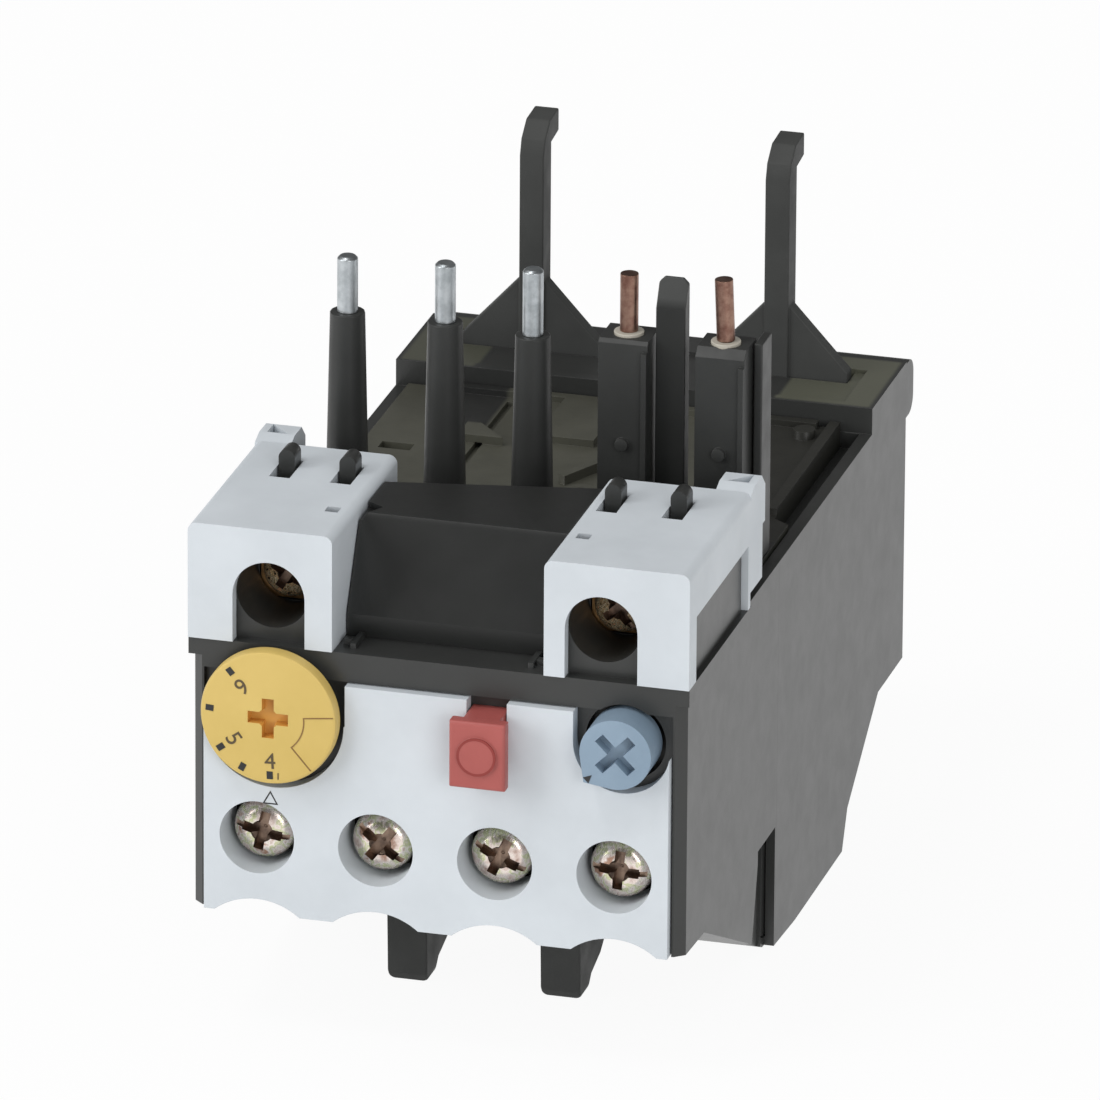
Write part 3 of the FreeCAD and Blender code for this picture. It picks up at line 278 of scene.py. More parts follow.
def spin_about(centre: Vector, turn: float) -> Matrix:
    """Turn round an axis that runs from front to back.

    Args:
        centre: A point of the axis, in millimetres.
        turn: Angle in degrees.
    Returns:
        The matrix in metres.
    """
    there = Matrix.Translation(centre * MM)
    back = Matrix.Translation(-centre * MM)
    return there @ Matrix.Rotation(math.radians(turn), 4, "Y") @ back


def thicken(bm: BMesh, depth: float) -> None:
    """Give flat faces a thickness towards the back.

    Args:
        bm: Work mesh that holds only the flat faces.
        depth: Thickness in millimetres.
    """
    result = bmesh.ops.extrude_face_region(bm, geom=list(bm.faces))
    moved = [part for part in result["geom"] if isinstance(part, BMVert)]
    bmesh.ops.translate(bm, vec=BACKWARDS * depth * MM, verts=moved)
    bmesh.ops.recalc_face_normals(bm, faces=bm.faces)


def outline_strip(points: Sequence[tuple[float, float]], width: float, y: float, rise: float, closed: bool,
                  name: str) -> Piece:
    """Printed line of even width on a front face.

    Args:
        points: (x, z) places along the line, in millimetres.
        width: Width of the line.
        y: Depth of the face that carries it.
        rise: How far it stands in front of the face.
        closed: Whether the line returns to its start.
        name: Name of the object.
    Returns:
        The linked object.
    """
    bm = bmesh.new()
    count = len(points)
    inner, outer = [], []
    for i, (x, z) in enumerate(points):
        before = points[i - 1] if closed or i else points[i]
        after = points[(i + 1) % count] if closed or i < count - 1 else points[i]
        a = Vector((x - before[0], z - before[1]))
        b = Vector((after[0] - x, after[1] - z))
        a = a.normalized() if a.length else b.normalized()
        b = b.normalized() if b.length else a
        mitre = (a + b).normalized()
        normal = Vector((-mitre.y, mitre.x))
        reach = width / 2 / max(SHARPEST_MITRE, mitre.dot(b))
        inner.append(bm.verts.new(mm(x + normal.x * reach, y - rise, z + normal.y * reach)))
        outer.append(bm.verts.new(mm(x - normal.x * reach, y - rise, z - normal.y * reach)))
    for i in range(count if closed else count - 1):
        j = (i + 1) % count
        bmesh.ops.contextual_create(bm, geom=[inner[i], inner[j], outer[j], outer[i]])
    thicken(bm, rise * SUNK)
    return finish_mesh(bm, name)


def flat_digit(text: str, centre: Vector, height: float, turn: float, rise: float, name: str) -> Piece:
    """Plain numeral lying on a front face.

    Args:
        text: The numeral.
        centre: Its middle, on the face, in millimetres.
        height: Height of the figure.
        turn: Clockwise turn seen from the front, in degrees.
        rise: Thickness in front of the face.
        name: Name of the object.
    Returns:
        The linked object.
    """
    curve = bpy.data.curves.new(name, "FONT")
    curve.body = text
    curve.size = height * MM * TYPE_TO_FIGURE
    curve.align_x = "CENTER"
    curve.extrude = rise * MM
    holder = new_object(name, curve)
    graph = bpy.context.evaluated_depsgraph_get()
    mesh = bpy.data.meshes.new_from_object(holder.evaluated_get(graph))
    bpy.data.objects.remove(holder)
    bm = bmesh.new()
    bm.from_mesh(mesh)
    bpy.data.meshes.remove(mesh)
    bmesh.ops.remove_doubles(bm, verts=bm.verts, dist=1e-7)
    bmesh.ops.translate(bm, vec=(0, -height * MM / 2, 0), verts=bm.verts)
    upright = Matrix.Rotation(math.radians(90), 4, "X")
    roll = Matrix.Rotation(math.radians(turn), 4, "Y")
    bmesh.ops.transform(bm, matrix=Matrix.Translation(centre * MM) @ roll @ upright, verts=bm.verts)
    return finish_mesh(bm, name)


# --- Shader groups ---
class NodeTree:
    """Thin wrapper that adds and links shader nodes."""

    def __init__(self, tree: Tree) -> None:
        """Keep the tree.

        Args:
            tree: Material or group tree to fill.
        """
        self.tree = tree

    def add(self, kind: str, **values: object) -> Node:
        """Add a node and set plain attributes on it.

        Args:
            kind: Node type name.
            values: Attributes to set.
        Returns:
            The new node.
        """
        node = self.tree.nodes.new(kind)
        for key, value in values.items():
            setattr(node, key, value)
        return node

    def link(self, source: Socket, target: Socket) -> None:
        """Connect two sockets."""
        self.tree.links.new(source, target)

    def feed(self, value: object, target: Socket) -> None:
        """Give an input its value.

        Args:
            value: Socket, number or colour.
            target: The input.
        """
        if isinstance(value, Socket):
            self.link(value, target)
        else:
            target.default_value = value if isinstance(value, (int, float)) else (*value, 1)

    def noise(self, vector: Socket, scale: float | Socket, detail: float = 3.0,
              rough: float = 0.55) -> Socket:
        """Noise value on a vector.

        Args:
            vector: Coordinates.
            scale: Scale as a number or a socket.
            detail: Octaves.
            rough: Roughness of the octaves.
        Returns:
            The factor socket.
        """
        node = self.add("ShaderNodeTexNoise")
        node.inputs["Detail"].default_value = detail
        node.inputs["Roughness"].default_value = rough
        self.link(vector, node.inputs["Vector"])
        self.feed(scale, node.inputs["Scale"])
        return node.outputs["Fac"]

    def math(self, operation: str, a: object, b: object = 0.5, clamp: bool = False) -> Socket:
        """Math node on numbers or sockets.

        Args:
            operation: Blender's operation name.
            a: First value or socket.
            b: Second value or socket.
            clamp: Whether to clamp to 0..1.
        Returns:
            The result socket.
        """
        node = self.add("ShaderNodeMath", operation=operation, use_clamp=clamp)
        self.feed(a, node.inputs[0])
        self.feed(b, node.inputs[1])
        return node.outputs[0]

    def spread(self, value: Socket, low: float, high: float, out_low: float = 0.0,
               out_high: float = 1.0) -> Socket:
        """Map a span of values to another, clamped.

        Args:
            value: Input socket.
            low: Start of the input span.
            high: End of the input span.
            out_low: Start of the output span.
            out_high: End of the output span.
        Returns:
            The result socket.
        """
        node = self.add("ShaderNodeMapRange")
        self.link(value, node.inputs["Value"])
        for key, number in (("From Min", low), ("From Max", high), ("To Min", out_low), ("To Max", out_high)):
            node.inputs[key].default_value = number
        return node.outputs["Result"]

    def mix(self, factor: object, a: object, b: object) -> Socket:
        """Mix two colours.

        Args:
            factor: Number or socket.
            a: Colour or socket at factor 0.
            b: Colour or socket at factor 1.
        Returns:
            The colour socket.
        """
        node = self.add("ShaderNodeMix", data_type="RGBA")
        # Inputs 6 and 7 and output 2 are the colour sockets.
        for value, index in ((factor, 0), (a, 6), (b, 7)):
            self.feed(value, node.inputs[index])
        return node.outputs[2]

    def bump(self, height: Socket, strength: float, distance: float) -> Socket:
        """Bumped normal from a height.

        Args:
            height: Height socket.
            strength: Share of the bump.
            distance: Height of a full bump, in millimetres.
        Returns:
            The normal socket.
        """
        node = self.add("ShaderNodeBump")
        node.inputs["Strength"].default_value = strength
        node.inputs["Distance"].default_value = distance * MM
        self.link(height, node.inputs["Height"])
        return node.outputs["Normal"]

    def drive(self, shader: Node, colour: Socket, rough: Socket, normal: Socket) -> None:
        """Connect a Principled shader.

        Args:
            shader: The shader node.
            colour: Its base colour.
            rough: Its roughness.
            normal: Its normal.
        """
        for key, socket in (("Base Color", colour), ("Roughness", rough), ("Normal", normal)):
            self.link(socket, shader.inputs[key])


def new_material(name: str) -> tuple[Material, NodeTree, Node]:
    """Empty node material.

    Args:
        name: Name of the material.
    Returns:
        The material, the wrapper of its tree and its Principled shader.
    """
    material = bpy.data.materials.new(name)
    material.use_nodes = True
    return material, NodeTree(material.node_tree), material.node_tree.nodes["Principled BSDF"]


class GroupTree(NodeTree):
    """Shader group with number sockets and Object coordinates inside."""

    def __init__(self, name: str, inputs: dict[str, float], outputs: Iterable[str]) -> None:
        """Make the group with its ends.

        Args:
            name: Name of the group.
            inputs: Names and defaults of the number inputs.
            outputs: Names of the number outputs.
        """
        super().__init__(bpy.data.node_groups.new(name, "ShaderNodeTree"))
        sockets = self.tree.interface
        for key, value in inputs.items():
            socket = sockets.new_socket(name=key, in_out="INPUT", socket_type="NodeSocketFloat")
            socket.default_value = value
        for key in outputs:
            sockets.new_socket(name=key, in_out="OUTPUT", socket_type="NodeSocketFloat")
        self.start = self.add("NodeGroupInput").outputs
        self.end = self.add("NodeGroupOutput").inputs
        self.place = self.add("ShaderNodeTexCoord").outputs["Object"]


class ShaderLibrary:
    """Shared shader groups, each built at its first use."""

    @cached_property
    def moulded(self) -> Tree:
        """Fine spark-eroded texture of a plastic moulding with slow drifts of tone."""
        group = GroupTree("moulded_surface", {"Grain": 5200.0, "Drift": 90.0}, ("Height", "Tone", "Gloss"))
        grain = group.noise(group.place, group.start["Grain"], 2.0, 0.5)
        pits = group.add("ShaderNodeTexVoronoi", feature="SMOOTH_F1")
        group.link(group.place, pits.inputs["Vector"])
        group.link(group.start["Grain"], pits.inputs["Scale"])
        height = group.math("ADD", group.math("MULTIPLY", grain, 0.6),
                            group.math("MULTIPLY", pits.outputs["Distance"], 0.4))
        group.link(height, group.end["Height"])
        drift = group.noise(group.place, group.start["Drift"], 4.0, 0.6)
        group.link(group.spread(drift, 0.35, 0.65), group.end["Tone"])
        group.link(group.spread(group.noise(group.place, 420.0, 3.0), 0.3, 0.7), group.end["Gloss"])
        return group.tree

    @cached_property
    def dust(self) -> Tree:
        """Thin dust that lies on faces turned upwards and in patches."""
        group = GroupTree("settled_dust", {"Amount": 0.3}, ("Mask",))
        up = group.add("ShaderNodeSeparateXYZ")
        group.link(group.add("ShaderNodeNewGeometry").outputs["Normal"], up.inputs[0])
        facing = group.spread(up.outputs["Z"], 0.35, 0.95)
        patches = group.spread(group.noise(group.place, 260.0, 5.0, 0.7), 0.38, 0.75, 0.35, 1.0)
        cover = group.math("MULTIPLY", facing, patches)
        group.link(group.math("MULTIPLY", cover, group.start["Amount"], True), group.end["Mask"])
        return group.tree

    @cached_property
    def zone(self) -> Tree:
        """Soft-edged rectangle in plan where the moulding gets another colour, mostly painted shade and
        painted sheen.
        """
        group = GroupTree("colour_zone", {"X0": 0.0, "X1": 0.01, "Y0": 0.0, "Y1": 0.01}, ("Mask",))
        place = group.add("ShaderNodeSeparateXYZ")
        group.link(group.place, place.inputs[0])
        sides = []
        for axis in ("X", "Y"):
            past = group.math("SUBTRACT", place.outputs[axis], group.start[axis + "0"])
            left = group.math("SUBTRACT", group.start[axis + "1"], place.outputs[axis])
            inside = group.math("MINIMUM", past, left)
            sides.append(group.math("MULTIPLY", inside, 1 / (ZONE_FADE * MM), True))
        group.link(group.math("MULTIPLY", sides[0], sides[1]), group.end["Mask"])
        return group.tree

    @cached_property
    def streaks(self) -> Tree:
        """Drawn or rolled metal: long fine streaks along Z and blotches of oxide."""
        group = GroupTree("drawn_streaks", {"Fine": 9000.0, "Blotch": 700.0}, ("Height", "Blotches", "Gloss"))
        squeeze = group.add("ShaderNodeVectorMath", operation="MULTIPLY")
        squeeze.inputs[1].default_value = (1, 1, 0.06)
        group.link(group.place, squeeze.inputs[0])
        fine = group.noise(squeeze.outputs[0], group.start["Fine"], 2.0, 0.6)
        group.link(fine, group.end["Height"])
        blotch = group.noise(group.place, group.start["Blotch"], 4.0, 0.65)
        group.link(group.spread(blotch, 0.4, 0.64), group.end["Blotches"])
        group.link(group.spread(fine, 0.3, 0.7), group.end["Gloss"])
        return group.tree


SHADERS = ShaderLibrary()


def shared(nodes: NodeTree, group: Tree, **values: float) -> bpy.types.NodeOutputs:
    """Add a shared group to a material.

    Args:
        nodes: Tree of the material.
        group: The group.
        values: Number inputs to set.
    Returns:
        The outputs of the group's node.
    """
    node = nodes.add("ShaderNodeGroup", node_tree=group)
    for key, value in values.items():
        node.inputs[key].default_value = value
    return node.outputs


# --- Finishes ---
@dataclass(frozen=True)
class Zone:
    """Rectangle in plan, in millimetres, where a moulding gets another colour, mostly painted shade and
    painted sheen.
    """

    x0: float
    x1: float
    y0: float
    y1: float
    # The default dark colour is painted shade for recess floors.
    code: str = "262726"


@dataclass(frozen=True)
class Plastic:
    """Moulded plastic with two six-digit colours that drift into one another, and zones of painted shade and
    painted sheen.
    """

    name: str
    base: str
    deep: str
    rough_low: float = 0.38
    rough_high: float = 0.52
    grain: float = 5200.0
    bump: float = 0.12
    dust: float = 0.0
    dust_colour: Colour = (0.30, 0.29, 0.26)
    dust_rough: float = 0.35
    specular: float = 0.5
    # Patches of painted shade and painted sheen.
    zones: tuple[Zone, ...] = ()

    def build(self) -> Material:
        """Material of this plastic."""
        material, nodes, shader = new_material(self.name)
        shader.inputs["Specular IOR Level"].default_value = self.specular
        surface = shared(nodes, SHADERS.moulded, Grain=self.grain)
        colour = nodes.mix(surface["Tone"], linear(self.deep), linear(self.base))
        rough = nodes.spread(surface["Gloss"], 0.0, 1.0, self.rough_low, self.rough_high)
        # Zones paint shade and sheen over the colour.
        for zone in self.zones:
            mask = shared(nodes, SHADERS.zone, X0=zone.x0 * MM, X1=zone.x1 * MM, Y0=zone.y0 * MM,
                          Y1=zone.y1 * MM)["Mask"]
            colour = nodes.mix(mask, colour, linear(zone.code))
        if self.dust > 0:
            mask = shared(nodes, SHADERS.dust, Amount=self.dust)["Mask"]
            colour = nodes.mix(mask, colour, self.dust_colour)
            rough = nodes.math("ADD", rough, nodes.math("MULTIPLY", mask, self.dust_rough), True)
        nodes.drive(shader, colour, rough, nodes.bump(surface["Height"], self.bump, 0.06))
        return material


@dataclass(frozen=True)
class Metal:
    """Drawn, rolled or plated metal with six-digit colours of its surface and its oxide."""

    name: str
    base: str
    stain: str
    rough_low: float = 0.25
    rough_high: float = 0.42
    fine: float = 9000.0
    blotch: float = 700.0
    bump: float = 0.1

    def build(self) -> Material:
        """Material of this metal."""
        material, nodes, shader = new_material(self.name)
        shader.inputs["Metallic"].default_value = 1.0
        surface = shared(nodes, SHADERS.streaks, Fine=self.fine, Blotch=self.blotch)
        colour = nodes.mix(surface["Blotches"], linear(self.base), linear(self.stain))
        rough = nodes.spread(surface["Gloss"], 0.0, 1.0, self.rough_low, self.rough_high)
        nodes.drive(shader, colour, rough, nodes.bump(surface["Height"], self.bump, 0.04))
        return material


@dataclass(frozen=True)
class Chromate:
    """Passivated zinc whose film shifts between several colours; stops far apart also paint glints into it.
    """

    name: str
    stops: tuple[tuple[float, str], ...] = (
        (0.32, "a98b7c"), (0.41, "e0cdc4"), (0.48, "f2e6de"),
        (0.54, "cdd0a4"), (0.60, "f4eae4"), (0.68, "b8937f"))
    rough_low: float = 0.18
    rough_high: float = 0.34
    metallic: float = 1.0
    patch: float = 520.0
    fine: float = 4200.0
    bump: float = 0.2

    def build(self) -> Material:
        """Material of the plated screws."""
        material, nodes, shader = new_material(self.name)
        shader.inputs["Metallic"].default_value = self.metallic
        place = nodes.add("ShaderNodeTexCoord").outputs["Object"]
        film = nodes.add("ShaderNodeValToRGB")
        steps = film.color_ramp.elements
        for step, (position, code) in zip((steps[0], steps[1]), (self.stops[0], self.stops[-1])):
            step.position, step.color = position, (*linear(code), 1)
        for position, code in self.stops[1:-1]:
            steps.new(position).color = (*linear(code), 1)
        nodes.link(nodes.noise(place, self.patch, 3.0, 0.6), film.inputs["Fac"])
        surface = shared(nodes, SHADERS.streaks, Fine=self.fine)
        rough = nodes.spread(surface["Gloss"], 0.0, 1.0, self.rough_low, self.rough_high)
        nodes.drive(shader, film.outputs["Color"], rough, nodes.bump(surface["Height"], self.bump, 0.05))
        return material


class Finish(Enum):
    """Finishes of the relay."""

    # Painted shade darkens the bay between the caps, which shade it; the olive ends of the rear block are
    # painted sheen of warm light on their tops.
    SHELL = Plastic("black_shell", "343534", "303130", 0.33, 0.37, dust=0.02,
                    zones=(Zone(-9.6, 9.6, -34.2, -17.9, "212221"), Zone(13.0, 22.3, 27.1, 39.4, "58594d"),
                           Zone(-22.3, -15.0, 27.1, 39.4, "4c4d42")))
    # Olive colour is painted sheen of warm light on the deck's top faces. Painted shade darkens three pit
    # floors, then the darker right end of the deck.
    DECK = Plastic("olive_deck", "525248", "46463d", 0.38, 0.46, dust=0.03,
                   zones=(Zone(-17.0, -11.3, 16.6, 27.5), Zone(7.0, 16.0, 22.0, 27.5),
                          Zone(6.0, 21.5, -18.0, -2.0), Zone(12.0, 21.5, -2.4, 27.5, "2d2d29")))
    TRIM = Plastic("black_trim", "333433", "2d2e2d", 0.4, 0.48, dust=0.02, specular=0.4)
    HOOK = Plastic("black_hook", "464746", "3e3f3e", 0.5, 0.62, dust=0.02, specular=0.15)
    # Painted light makes the tab's slope lighter, as it faces the light from above.
    TAB = Plastic("black_tab", "292a29", "242524", 0.42, 0.5, specular=0.3,
                  zones=(Zone(0.0, 20.0, -8.66, -6.0, "414241"),))
    # Painted shade darkens the caps' small holes.
    LIGHT = Plastic("pale_plastic", "cdd3d8", "c5cbd0", 0.46, 0.6, bump=0.08,
                    zones=(Zone(10.75, 12.15, -32.3, -30.9, "3c3f41"),
                           Zone(-12.15, -10.75, -32.3, -30.9, "3c3f41")))
    YELLOW = Plastic("yellow_plastic", "d0b467", "c6aa5c", 0.4, 0.55, bump=0.08)
    ORANGE = Plastic("orange_recess", "d69f4a", "ca903e", 0.4, 0.55, bump=0.08)
    RED = Plastic("red_plastic", "aa5752", "9f4f4a", 0.38, 0.52, bump=0.08)
    BLUE = Plastic("blue_plastic", "899daf", "7d91a3", 0.38, 0.52, bump=0.08)
    COLLAR = Plastic("insulation", "bdb8ac", "a9a497", 0.45, 0.6)
    IVORY = Plastic("ivory_plastic", "cfcbbb", "c4c0b0", 0.42, 0.55)
    PRINT = Plastic("printed_ink", "2b2b2b", "222222", 0.5, 0.6, bump=0.03)
    PRINT_BROWN = Plastic("printed_ink_brown", "594b33", "4e412c", 0.5, 0.6, bump=0.03)
    PRINT_SOFT = Plastic("printed_ink_soft", "8a6a3a", "7e5f34", 0.5, 0.6, bump=0.03)
    # Darker red of the stop button's ring is painted shade of an engraved groove.
    RING_PAINTED_SHADE = Plastic("engraving_painted_shade", "8e342e", "84302b", 0.45, 0.6, bump=0.03)
    PIN = Metal("tinned_pin", "cfd4d7", "b4babd", 0.34, 0.5)
    STEEL = Metal("plated_steel", "b4b4b0", "908f8a", 0.28, 0.45)
    SPRING = Metal("spring_wire", "8f9094", "76777a", 0.25, 0.4)
    COPPER = Metal("bare_copper", "9e7f70", "7d5a4f", 0.3, 0.48)
    STRIP = Metal("contact_strip", "c49a68", "a07a52", 0.28, 0.45)
    BIMETAL = Metal("bimetal", "a6a49c", "86837a", 0.3, 0.48)
    HEATER = Metal("heater_ribbon", "85807a", "6a6460", 0.35, 0.55)
    CHROMATE = Chromate("yellow_chromate")
    # Aux screws: the film's stops swing from near black to near white to paint glints onto a brown chromate.
    CHROMATE_PAINTED_GLINTS = Chromate("brown_chromate_painted_glints", (
        (0.36, "1c1512"), (0.44, "f4cf9c"), (0.48, "3a2820"),
        (0.53, "ffe8c0"), (0.58, "4c4a30"), (0.66, "f0bc90")), 0.3, 0.45, 0.45, 2200.0)
    RECESS = Metal("oxidised_recess", "9c8676", "6f5e54", 0.3, 0.5, 4200.0)


class Workshop:
    """Hands out one material per finish and books each piece on the frame."""

    def __init__(self) -> None:
        """Start with no material built."""
        self.materials: dict[Finish, Material] = {}

    def material(self, finish: Finish) -> Material:
        """Material of a finish, built once.

        Args:
            finish: The finish.
        Returns:
            Its material.
        """
        if finish not in self.materials:
            self.materials[finish] = finish.value.build()
        return self.materials[finish]

    def dress(self, piece: Piece, finish: Finish) -> Piece:
        """Give a piece one finish.

        Args:
            piece: The piece.
            finish: Its finish.
        Returns:
            The same piece.
        """
        piece.data.materials.clear()
        piece.data.materials.append(self.material(finish))
        return piece

    def book(self, piece: Piece, body: str, nodes: Sequence[str] = ()) -> None:
        """Put a piece on its body and let it stand for frame nodes.

        Args:
            piece: The finished piece.
            body: Body that carries it.
            nodes: Frame nodes that it replaces.
        """
        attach(piece, body)
        if nodes:
            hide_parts(*nodes)
        LOG.info("%s on %s: %d faces, replaces %s", piece.name, body, len(piece.data.polygons),
                 ", ".join(nodes) or "-")


SHOP = Workshop()


# --- Sub-assemblies ---
@dataclass
class Moulding:
    """A frame node copied with rounded edges; lengths in millimetres, angles in degrees."""

    node: str
    finish: Finish
    slot: str
    edge: float = 0.18
    body: str = "body"
    segments: int = 2
    crease: float = 28.0
    flat_angle: float = 0.8
    smooth_over: float = 12.0

    def build(self) -> None:
        """Copy the node, merge its triangles into flats and round its edges."""
        bm = bmesh.new()
        bm.from_mesh(frame["nodes"][self.node].data)
        bmesh.ops.remove_doubles(bm, verts=bm.verts, dist=2e-6)
        bmesh.ops.dissolve_degenerate(bm, edges=bm.edges, dist=2e-6)
        bmesh.ops.dissolve_limit(bm, angle_limit=math.radians(self.flat_angle), verts=bm.verts,
                                 edges=bm.edges, use_dissolve_boundaries=False, delimit={"NORMAL"})
        limit = math.radians(self.crease)
        sharp = [e for e in bm.edges if len(e.link_faces) == 2 and e.calc_face_angle(0) > limit]
        bmesh.ops.bevel(bm, geom=sharp, offset=self.edge * MM, offset_type="OFFSET", segments=self.segments,
                        profile=0.5, affect="EDGES", clamp_overlap=True, material=-1)
        bmesh.ops.remove_doubles(bm, verts=bm.verts, dist=1e-6)
        piece = weighted(finish_mesh(bm, self.node + "_piece", self.crease + self.smooth_over))
        SHOP.book(SHOP.dress(piece, self.finish), self.body, [self.node])


@dataclass
class CrossScrews:
    """Pan-head screws with a cross recess and a slot, all facing the front.

    Lengths are in millimetres. arm, half, slot and core are shares of the head's radius, and slot_half is a
    share of half.
    """

    node: str
    head_r: float
    length: float
    turns: Sequence[float]
    finish: Finish = Finish.CHROMATE
    head_t: float = 2.2
    shank_r: float = 1.7
    pitch: float = 0.7
    thread_deep: float = 0.28
    arm: float = 0.64
    half: float = 0.16
    arm_deep: float = 1.35
    slot: float = 1.05
    slot_half: float = 0.55
    slot_deep: float = 0.62
    core: float = 0.36

    def places(self) -> list[Vector]:
        """Middles of the screws' front faces, evenly spread over the node."""
        low, high = node_box(self.node)
        step = (high.x - low.x - 2 * self.head_r) / (len(self.turns) - 1)
        middle = (len(self.turns) - 1) / 2
        return [front(self.node) + Vector(((i - middle) * step, 0, 0)) for i in range(len(self.turns))]

    def profile(self) -> list[tuple[float, float]]:
        """Half outline of a screw as (radius, depth) pairs."""
        r, t, shank = self.head_r, self.head_t, self.shank_r
        outline = [(0, 0.0), (r * 0.35, 0.03), (r * 0.6, 0.14), (r * 0.8, 0.38), (r * 0.94, 0.8), (r, 1.25),
                   (r, t - 0.15), (r - 0.15, t), (shank + 0.1, t)]
        height = t
        while height + self.pitch < self.length:
            outline += [(shank, height + 0.15), (shank - self.thread_deep, height + self.pitch / 2),
                        (shank, height + self.pitch - 0.05)]
            height += self.pitch
        return outline + [(shank - 0.3, self.length), (0, self.length)]

    def recess(self, centre: Vector, turn: float) -> list[Piece]:
        """Cutters of a head's cross, slot and core.

        Args:
            centre: Middle of the head's front.
            turn: Turn of the recess in degrees.
        Returns:
            The dressed cutters.
        """
        spin = spin_about(centre, turn)
        r = self.head_r
        arm, half = r * self.arm, r * self.half
        spans = [(arm, half, self.arm_deep), (half, arm, self.arm_deep),
                 (r * self.slot, half * self.slot_half, self.slot_deep)]
        cutters = [block(centre + Vector((-x, -1, -z)), centre + Vector((x, deep, z)), "arm", spin)
                   for x, z, deep in spans]
        core_r = r * self.core
        cone = [(0, -1), (core_r, -1), (core_r, 0.3), (0, 1.55)]
        cutters.append(turned(cone, centre, "core", 24))
        return [SHOP.dress(cutter, Finish.RECESS) for cutter in cutters]

    def head(self, centre: Vector, turn: float) -> Piece:
        """One screw.

        Args:
            centre: Middle of the head's front.
            turn: Turn of its recess in degrees.
        Returns:
            The screw with its recess cut.
        """
        screw = SHOP.dress(turned(self.profile(), centre, "screw", 48), self.finish)
        return carve(screw, self.recess(centre, turn))

    def build(self) -> None:
        """Build all screws as one piece."""
        screws = [self.head(place, turn) for place, turn in zip(self.places(), self.turns)]
        piece = merge(screws, self.node + "_piece")
        SHOP.book(piece, "body", [self.node])


@dataclass
class RatingDial:
    """Yellow current dial with scale, numerals and pointer sector."""

    thick: float = 1.5
    radius: float = 6.25
    hub_r: float = 2.5
    stem_r: float = 1.2
    stem_l: float = 2.4
    arm: float = 1.85
    half: float = 0.55
    arm_deep: float = 1.1
    ink: float = 0.04
    sunk: float = 0.02
    figure: float = 1.55
    mark_reach: float = 5.35
    sector: tuple[float, float] = (-96.6, -41.0)
    sector_steps: int = 14
    sector_inner: float = 3.3
    sector_outer: float = 6.0
    sector_line: float = 0.11
    mark_size: tuple[float, float] = (0.28, 0.36)
    tick_size: tuple[float, float] = (0.05, 0.3)
    tick_angle: float = -10.0
    tick_reach: float = 5.45
    marks: Sequence[float] = (-2.0, 26.0, 54.0, 95.0, 140.0)
    numerals: Sequence[tuple[str, float, float]] = (("4", -3.0, 3.95), ("5", 54.5, 3.75), ("6", 139.0, 3.6))
    centre: Vector = field(default_factory=lambda: front("rating_dial"))

    def polar(self, angle: float, reach: float) -> Vector:
        """Place on the face from an angle clockwise from the bottom.

        Args:
            angle: Degrees clockwise from straight down, seen from the front.
            reach: Distance from the axis, in millimetres.
        Returns:
            The point in millimetres.
        """
        a = math.radians(angle)
        return self.centre - reach * Vector((math.sin(a), 0, math.cos(a)))

    def disc(self) -> Piece:
        """Disc with rounded rim, hub and a stepped cross recess."""
        centre = self.centre
        depth = node_box("rating_dial")[1].y - centre.y
        r, t, hub = self.radius, self.thick, depth - self.stem_l
        profile = [(0, 0), (r - 0.35, 0), (r - 0.1, 0.1), (r, 0.35), (r, t - 0.2), (r - 0.2, t),
                   (self.hub_r, t), (self.hub_r, hub), (self.stem_r, hub), (self.stem_r, depth), (0, depth)]
        disc = SHOP.dress(turned(profile, centre, "rating_dial_piece", 96), Finish.YELLOW)
        cutters = [block(centre + Vector((-x, -1, -z)), centre + Vector((x, self.arm_deep, z)), "arm")
                   for x, z in ((self.arm, self.half), (self.half, self.arm))]
        core = [(0, -1), (0.95, -1), (0.95, 0.0), (0.75, 0.9), (0, 0.9)]
        cutters.append(turned(core, centre, "core", 24))
        return weighted(carve(disc, [SHOP.dress(cutter, Finish.ORANGE) for cutter in cutters]))

    def printed(self, centre: Vector, half: tuple[float, float], name: str, turn: float = 0.0) -> Piece:
        """Printed rectangle on the dial's face.

        Args:
            centre: Its middle.
            half: Half its width and height.
            name: Name of the object.
            turn: Turn in degrees.
        Returns:
            The linked object.
        """
        low = centre - Vector((half[0], self.ink, half[1]))
        high = centre + Vector((half[0], self.sunk, half[1]))
        return block(low, high, name, spin_about(centre, turn))

    def outline(self) -> Piece:
        """Outline of the sector at the right of the dial, open towards the rim."""
        start, end = self.sector
        angles = [start + (end - start) * i / self.sector_steps for i in range(self.sector_steps + 1)]
        points = [self.polar(angle, self.sector_inner) for angle in angles]
        points = [self.polar(start, self.sector_outer), *points, self.polar(end, self.sector_outer)]
        line = [(point.x, point.z) for point in points]
        return outline_strip(line, self.sector_line, self.centre.y, self.ink, False, "dial_sector")

    def scale(self) -> Piece:
        """Marks, numerals and tick of the scale in one piece."""
        prints = []
        for angle in self.marks:
            mark = self.printed(self.polar(angle, self.mark_reach), self.mark_size, "mark", angle)
            prints.append(SHOP.dress(mark, Finish.PRINT))
        for text, angle, reach in self.numerals:
            centre = self.polar(angle, reach)
            digit = flat_digit(text, centre, self.figure, angle, self.ink, "numeral_" + text)
            prints.append(SHOP.dress(digit, Finish.PRINT_BROWN))
        tick = self.printed(self.polar(self.tick_angle, self.tick_reach), self.tick_size, "tick")
        prints.append(SHOP.dress(tick, Finish.PRINT_BROWN))
        return merge(prints, "dial_scale")

    def build(self) -> None:
        """Build the dial and its print."""
        SHOP.book(self.disc(), "dial", ["rating_dial"])
        SHOP.book(self.scale(), "dial")
        SHOP.book(SHOP.dress(self.outline(), Finish.PRINT_SOFT), "dial")


